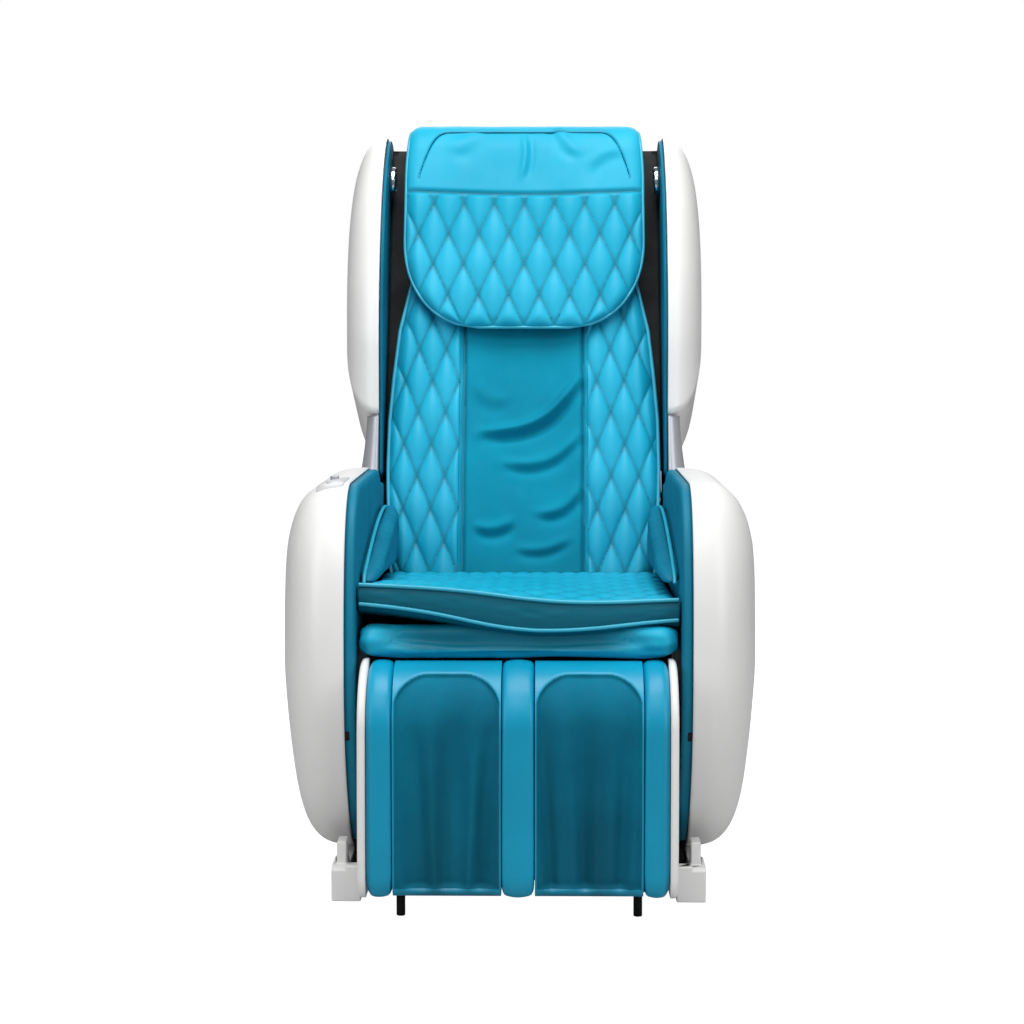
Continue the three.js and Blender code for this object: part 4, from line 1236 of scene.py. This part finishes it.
speaker_at, speaker_size = (-0.062, 0.711), (0.019, 0.023)
for word, side in sides:
    low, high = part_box("speaker_" + word)
    near, far = sorted((abs(low.x), abs(high.x)))

    def oval(x, scale, count=72):
        v0, u0 = speaker_at
        a, b = speaker_size[0] * scale, speaker_size[1] * scale
        return [on_back(side * x, v0 + a * math.cos(w), u0 + b * math.sin(w))
                for w in np.linspace(0, 2 * math.pi, count + 1)[:-1]]

    collar = [oval(far, 0.98)] + [oval(near + out, scale) for out, scale in (
        (0.006, 1.0), (0.0022, 0.99), (0.0006, 0.95), (0, 0.9), (0.0004, 0.85), (0.002, 0.81),
        (0.0045, 0.79))]
    rim_ring = ring_loft(f"{word}_speaker_rim", collar, [bright_chrome])
    settle(rim_ring, "back", "speaker_" + word)
    dish = [oval(near + out, scale)
            for out, scale in ((0.0043, 0.8), (0.0035, 0.78), (0.0016, 0.55), (0.001, 0.25))]
    cover = ring_loft(f"{word}_speaker_cover", dish, [speaker_mesh])
    settle(cover, "back")

# ---------------------------------------------------------------------------------------------
# Rear cover of the back: a white gloss pan that closes the back from wing to wing, with round
# shoulders. Rows of vent slots sit low on it, and screws hold it at its edges.
# ---------------------------------------------------------------------------------------------
black_plastic = finish("black_plastic", grain, 1800, (0.014, 0.014, 0.016), (0.024, 0.024, 0.026),
                       (0.42, 0.58), 0.3, 0.0002)
ground_steel = finish("ground_steel", skin, 500, (0.45, 0.45, 0.46), (0.6, 0.6, 0.61), (0.18, 0.32),
                      0.08, 0.0001, Metallic=1.0)
pan_line = spread(trace(
    ("line", (0.025, -0.02), (0.09, -0.02)),
    ("bezier", (0.09, -0.02), (0.136, -0.02), (0.14, 0.03), (0.144, 0.07)),
    ("bezier", (0.144, 0.07), (0.15, 0.12), (0.154, 0.3), (0.154, 0.5)),
    ("bezier", (0.154, 0.5), (0.154, 0.62), (0.15, 0.7), (0.122, 0.76)),
    ("bezier", (0.122, 0.76), (0.108, 0.79), (0.08, 0.8), (0.025, 0.801))), 120, closed=False)


def pan_half(u):
    return 0.2127 + 0.0078 * float(smoothstep(0.226, 0.24, u))


pan_vertices, pan_faces = [], []
pan_steps = ease(61, 0.9)
for depth in (0.0, 0.003):
    ahead = np.gradient(pan_line, axis=0)
    ahead /= np.linalg.norm(ahead, axis=1)[:, None]
    for (v, u), (dv, du) in zip(pan_line, ahead):
        half = pan_half(u) - depth * 0.9
        for t in pan_steps:
            x = (2 * t - 1) * half
            near = (half - abs(x)) / 0.032
            inset = 0.03 * (1 - math.sqrt(max(0, 1 - (1 - min(near, 1)) ** 2)))
            front = min(1.0, max(0.0, (v - 0.025) / 0.05))
            pull = inset * front + depth
            pan_vertices.append(on_back(x, max(v - du * pull, 0.024), u + dv * pull))
wide, tall = len(pan_steps), len(pan_line)
for layer in (0, 1):
    base = layer * wide * tall
    for i in range(tall - 1):
        for j in range(wide - 1):
            a = base + i * wide + j
            pan_faces.append((a, a + 1, a + 1 + wide, a + wide))
for i in range(tall - 1):
    for j in (0, wide - 1):
        a, b = i * wide + j, (i + 1) * wide + j
        pan_faces.append((a, b, b + wide * tall, a + wide * tall))
for i in (0, tall - 1):
    for j in range(wide - 1):
        a, b = i * wide + j, i * wide + j + 1
        pan_faces.append((a, b, b + wide * tall, a + wide * tall))
pan = new_piece("back_rear_moulding", [tuple(p) for p in pan_vertices], pan_faces, [white_gloss])
face_out(pan)
settle(pan, "back", "back_rear_cover")


def point_set(name, points):
    """Loose points, for parts repeated by Geometry Nodes."""
    mesh = bpy.data.meshes.new(name)
    mesh.from_pydata([tuple(p) for p in points], [], [])
    piece = bpy.data.objects.new(name, mesh)
    scene.collection.objects.link(piece)
    return piece


def grid_rows(name, origin, step_a, step_b, counts):
    """Loose points in even rows."""
    return point_set(name, [origin + step_a * a + step_b * b
                            for a in range(counts[0]) for b in range(counts[1])])


def repeat_tree(name, build):
    """A tree that puts one made part on every point, each turned and sized alike."""
    tree, into, out, keys = node_tree(name, [("Turn", "NodeSocketRotation"), ("Size", "NodeSocketVector"),
                                             ("Material", "NodeSocketMaterial")])
    part = build(tree)
    copies = add_node(tree, "GeometryNodeInstanceOnPoints",
                      [("Points", into.outputs["Geometry"]), ("Instance", part),
                       ("Rotation", into.outputs["Turn"]), ("Scale", into.outputs["Size"])])
    close_tree(tree, copies.outputs[0], into.outputs["Material"], out)
    return tree, keys


def slot_bar(tree):
    """A shallow bar with round ends, lying along X and facing Y."""
    bar = add_node(tree, "GeometryNodeMeshUVSphere", [("Segments", 16), ("Rings", 10), ("Radius", 1.0)])
    return bar.outputs[0]


def screw_head(tree):
    """A low domed screw head about Z with a flat underside."""
    head = add_node(tree, "GeometryNodeMeshCylinder", [("Vertices", 24), ("Radius", 1.0), ("Depth", 0.7)])
    crown = add_node(tree, "GeometryNodeMeshUVSphere", [("Segments", 24), ("Rings", 12), ("Radius", 0.92)])
    flat = add_node(tree, "GeometryNodeTransform",
                    [("Geometry", crown.outputs[0]), ("Scale", (1, 1, 0.75))])
    both = add_node(tree, "GeometryNodeJoinGeometry")
    tree.links.new(flat.outputs[0], both.inputs[0])
    tree.links.new(head.outputs[0], both.inputs[0])
    return both.outputs[0]


slot_tree, SLOTS = repeat_tree("vent_slots", slot_bar)
screw_tree, SCREWS = repeat_tree("screw_heads", screw_head)
lean = math.atan2(up.y, up.z)


def repeated(name, points, tree, keys, turn, size, material, body):
    part = grown(name, points, tree, {keys["Turn"]: turn, keys["Size"]: size, keys["Material"]: material})
    part.data.polygons.foreach_set("use_smooth", [True] * len(part.data.polygons))
    settle(part, body)
    return part


for word, side in sides:
    vents = grid_rows(f"{word}_vents", on_back(side * 0.085, 0.1535, 0.3), Vector(), up * 0.012, (1, 9))
    repeated(f"{word}_vent_slots", vents, slot_tree, SLOTS, (-lean, 0, 0), (0.042, 0.0012, 0.0022),
             black_plastic, "back")
screw_spots = []
for x in (-0.165, -0.055, 0.055, 0.165):
    for u in (0.21, 0.45):
        _, spot, _, _ = pan.ray_cast(on_back(x, 0.3, u), -rearward)
        screw_spots.append(spot + rearward * 0.0006)
screw_points = point_set("screws", screw_spots)
repeated("back_cover_screws", screw_points, screw_tree, SCREWS, (-lean - math.pi / 2, 0, 0),
         (0.0042, 0.0042, 0.0022), ground_steel, "back")

# ---------------------------------------------------------------------------------------------
# Wing trims: silver painted mouldings that fill the step between each wing and its arm. Their
# outer face is scooped, with a bright lip down the front, and they swing with the back.
# ---------------------------------------------------------------------------------------------
silver_paint = finish("silver_paint", skin, 1500, (0.38, 0.39, 0.43), (0.48, 0.49, 0.53), (0.28, 0.36),
                      0.05, 0.0002, Metallic=0.5)
trim_radius, trim_top = 0.2206, 0.2975
for word, side in sides:
    low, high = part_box("wing_trim_" + word)
    near, far = sorted((abs(low.x), abs(high.x)))
    near += 0.0006
    rings = []
    for t in np.linspace(0, 1, 30):
        reach = (far - near) * (0.66 + 0.34 * (1 - t) ** 1.6)
        ring = []
        for q in np.linspace(0, 1, 34):
            angle = math.radians(117 - 70 * q)
            v = (1 - t) * trim_radius * math.cos(angle) + t * (-0.107 + 0.24 * q)
            u = (1 - t) * trim_radius * math.sin(angle) + t * trim_top
            edge = min(q, 1 - q) / 0.035
            end = math.sqrt(max(0.0, 1 - (1 - min(edge, 1)) ** 2))
            scoop = 0.34 * math.sin(math.pi * q) ** 0.7
            lip = 0.12 * math.exp(-((q - 0.045) / 0.03) ** 2)
            ring.append(on_back(side * (near + reach * (0.88 + lip - scoop) * (0.15 + 0.85 * end)), v, u))
        back_side = [on_back(side * near, (p - recline_axis).dot(rearward), (p - recline_axis).dot(up))
                     for p in ring[::-1]]
        rings.append(ring + back_side)
    trim = ring_loft(f"{word}_wing_step_trim", rings, [silver_paint])
    settle(trim, "back", "wing_trim_" + word)

# ---------------------------------------------------------------------------------------------
# Shade curtain: a strip of black rubber sheet behind the seat's front roll, a painted shadow for
# the dark under the seat. It hangs close behind the round top of the calf rest.
# ---------------------------------------------------------------------------------------------
rubber = finish("black_rubber", grain, 1200, (0.01, 0.01, 0.01), (0.02, 0.02, 0.02), (0.7, 0.85),
                0.3, 0.0003)
skirt_half, skirt_front, skirt_back = 0.205, -0.3485, -0.347
skirt_rings = []
for x in np.linspace(-skirt_half, skirt_half, 80):
    sway = 0.0012 * math.sin(x * 90) + 0.0008 * math.sin(x * 41 + 1)
    down = ((0.3675, 0), (0.355, 0.5), (0.342, 1), (0.331, 1.3))
    skirt_rings.append([(x, skirt_front + sway * k, z) for z, k in down]
                       + [(x, skirt_back + sway * k, z) for z, k in down[::-1]])
skirt = ring_loft("seat_shade_curtain", skirt_rings, [rubber])
settle(skirt, "base")

# ---------------------------------------------------------------------------------------------
# Side gussets: a strip of black rubber coated cloth down each side of the back hides the rails between the
# back cushion and the wing lining. It is tacked to the front of the rail.
# ---------------------------------------------------------------------------------------------
# The black of the gussets stands in for the shade in the gap between the cushion and the wing lining:
# painted shade.
gusset_low, gusset_high = 0.235, 0.783
gusset_inner, gusset_width, gusset_front, gusset_thick = 0.166, 0.0492, -0.0218, 0.0012
for word, side in sides:
    rings = []
    for u in np.linspace(gusset_low, gusset_high, 60):
        row = []
        for q in np.linspace(0, 1, 12):
            sag = 0.0018 * math.sin(math.pi * q) + 0.0007 * math.sin(u * 60 + q * 5) * math.sin(math.pi * q)
            row.append((side * (gusset_inner + gusset_width * q), gusset_front + sag * 0.4, u))
        rings.append([on_back(*p) for p in row] + [on_back(x, v - gusset_thick, w) for x, v, w in row[::-1]])
    gusset = ring_loft(f"{word}_side_gusset", rings, [rubber])
    settle(gusset, "back")

# ---------------------------------------------------------------------------------------------
# Control plate: a thin satin plate let into the top of the arm on the left, following its curve.
# The rear button stands up through it. The front one is nearly covered by it.
# ---------------------------------------------------------------------------------------------
panel_skin = finish("panel_plastic", skin, 400, (0.5, 0.5, 0.52), (0.58, 0.58, 0.6), (0.3, 0.4),
                    0.1, 0.0002)
low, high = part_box("control_panel")
arm = bpy.data.objects["left_arm_moulding"]
half_x, half_y, rounding = (high.x - low.x) / 2, (high.y - low.y) / 2 - 0.006, 0.009
plate_line = []
for k in range(96):
    w = 2 * math.pi * k / 96
    c, h = math.cos(w), math.sin(w)
    plate_line.append((math.copysign(half_x - rounding, c) + rounding * c,
                       math.copysign(half_y - rounding, h) + rounding * h))
plate_line = spread(np.array(plate_line), 110)
plate_rings = []
for scale, rise in ((1, -0.003), (1, 0.0006), (0.985, 0.0013), (0.95, 0.0016), (0.75, 0.0017),
                    (0.5, 0.0017), (0.25, 0.0017)):
    ring = []
    for px, py in plate_line:
        x, y = (low.x + high.x) / 2 + px * scale, (low.y + high.y) / 2 + py * scale
        _, place, _, _ = arm.ray_cast((x, y, 1), (0, 0, -1))
        ring.append((x, y, place.z + rise))
    plate_rings.append(ring)
plate = ring_loft("arm_control_plate", plate_rings, [panel_skin])
settle(plate, "base", "control_panel")

# ---------------------------------------------------------------------------------------------
# Hard parts that keep their made shape: covers, feet, frames, drives, shafts and rollers. Their
# edges are rounded by modifiers, and each takes the finish of its own trade.
# ---------------------------------------------------------------------------------------------
powder_coat = finish("powder_coat", skin, 900, (0.008, 0.009, 0.01), (0.014, 0.015, 0.017),
                     (0.7, 0.8), 0.35, 0.0002, Specular_IOR_Level=0.12)
roller_skin = finish("roller_plastic", skin, 600, (0.09, 0.09, 0.1), (0.13, 0.13, 0.14), (0.35, 0.5),
                    0.1, 0.0002)
by_slot = {"white_shell": (white_gloss, 0.004), "black_plastic": (black_plastic, 0.0016),
           "painted_steel": (powder_coat, 0.0008), "polished_rod": (ground_steel, 0.0006),
           "rubber": (rubber, 0.0012), "silver_trim": (silver_paint, 0.0008)}
stood_for = {node for piece in bpy.data.objects for node in piece.get("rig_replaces", [])}
for node, solid in frame["nodes"].items():
    if node in stood_for:
        continue
    made = solid.data.materials[0].name.split(".")[0]
    coat, width = by_slot[made]
    if node.startswith("massage_roller"):
        coat = roller_skin
    for index in range(len(solid.data.materials)):
        solid.data.materials[index] = coat
    weld = solid.modifiers.new("weld", "WELD")
    weld.merge_threshold = 0.00002
    merge = solid.modifiers.new("merge_flats", "DECIMATE")
    merge.decimate_type = "DISSOLVE"
    merge.angle_limit = math.radians(1.5)
    edge = solid.modifiers.new("soft_edge", "BEVEL")
    edge.limit_method = "ANGLE"
    edge.angle_limit = math.radians(38)
    edge.width = width
    edge.segments = 3
    even = solid.modifiers.new("even_shading", "WEIGHTED_NORMAL")
    even.keep_sharp = False

# Screws hold the rear cover of the base, and louvres let the drives breathe. Above its bend the
# cover leans forward, so both are set on the leaning face.
low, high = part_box("rear_lower_cover")
bend = low.z + 0.082
cover_run = Vector((0, -0.042, 0.114)).normalized()
cover_tilt = math.atan2(-cover_run.y, cover_run.z)


def on_cover(x, rise, out=0.0):
    """A point on the leaning face of the cover: rise is along the face from the bend."""
    return Vector((x, high.y, bend)) + cover_run * rise + Vector((0, cover_run.z, -cover_run.y)) * out


screw_points = grid_rows("screws", on_cover(-0.17, 0.092, 0.0006), Vector((0.17, 0, 0)), Vector(), (3, 1))
repeated("base_cover_screws", screw_points, screw_tree, SCREWS, (cover_tilt - math.pi / 2, 0, 0),
         (0.0042, 0.0042, 0.0022), ground_steel, "base")
louvres = grid_rows("louvres", on_cover(-0.075, 0.014), Vector(), cover_run * 0.01, (1, 7))
repeated("base_cover_louvres", louvres, slot_tree, SLOTS, (cover_tilt, 0, 0), (0.05, 0.0012, 0.0019),
         rubber, "base")

size = {"cad": cad_box, "visual": [list(corner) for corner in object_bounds()]}
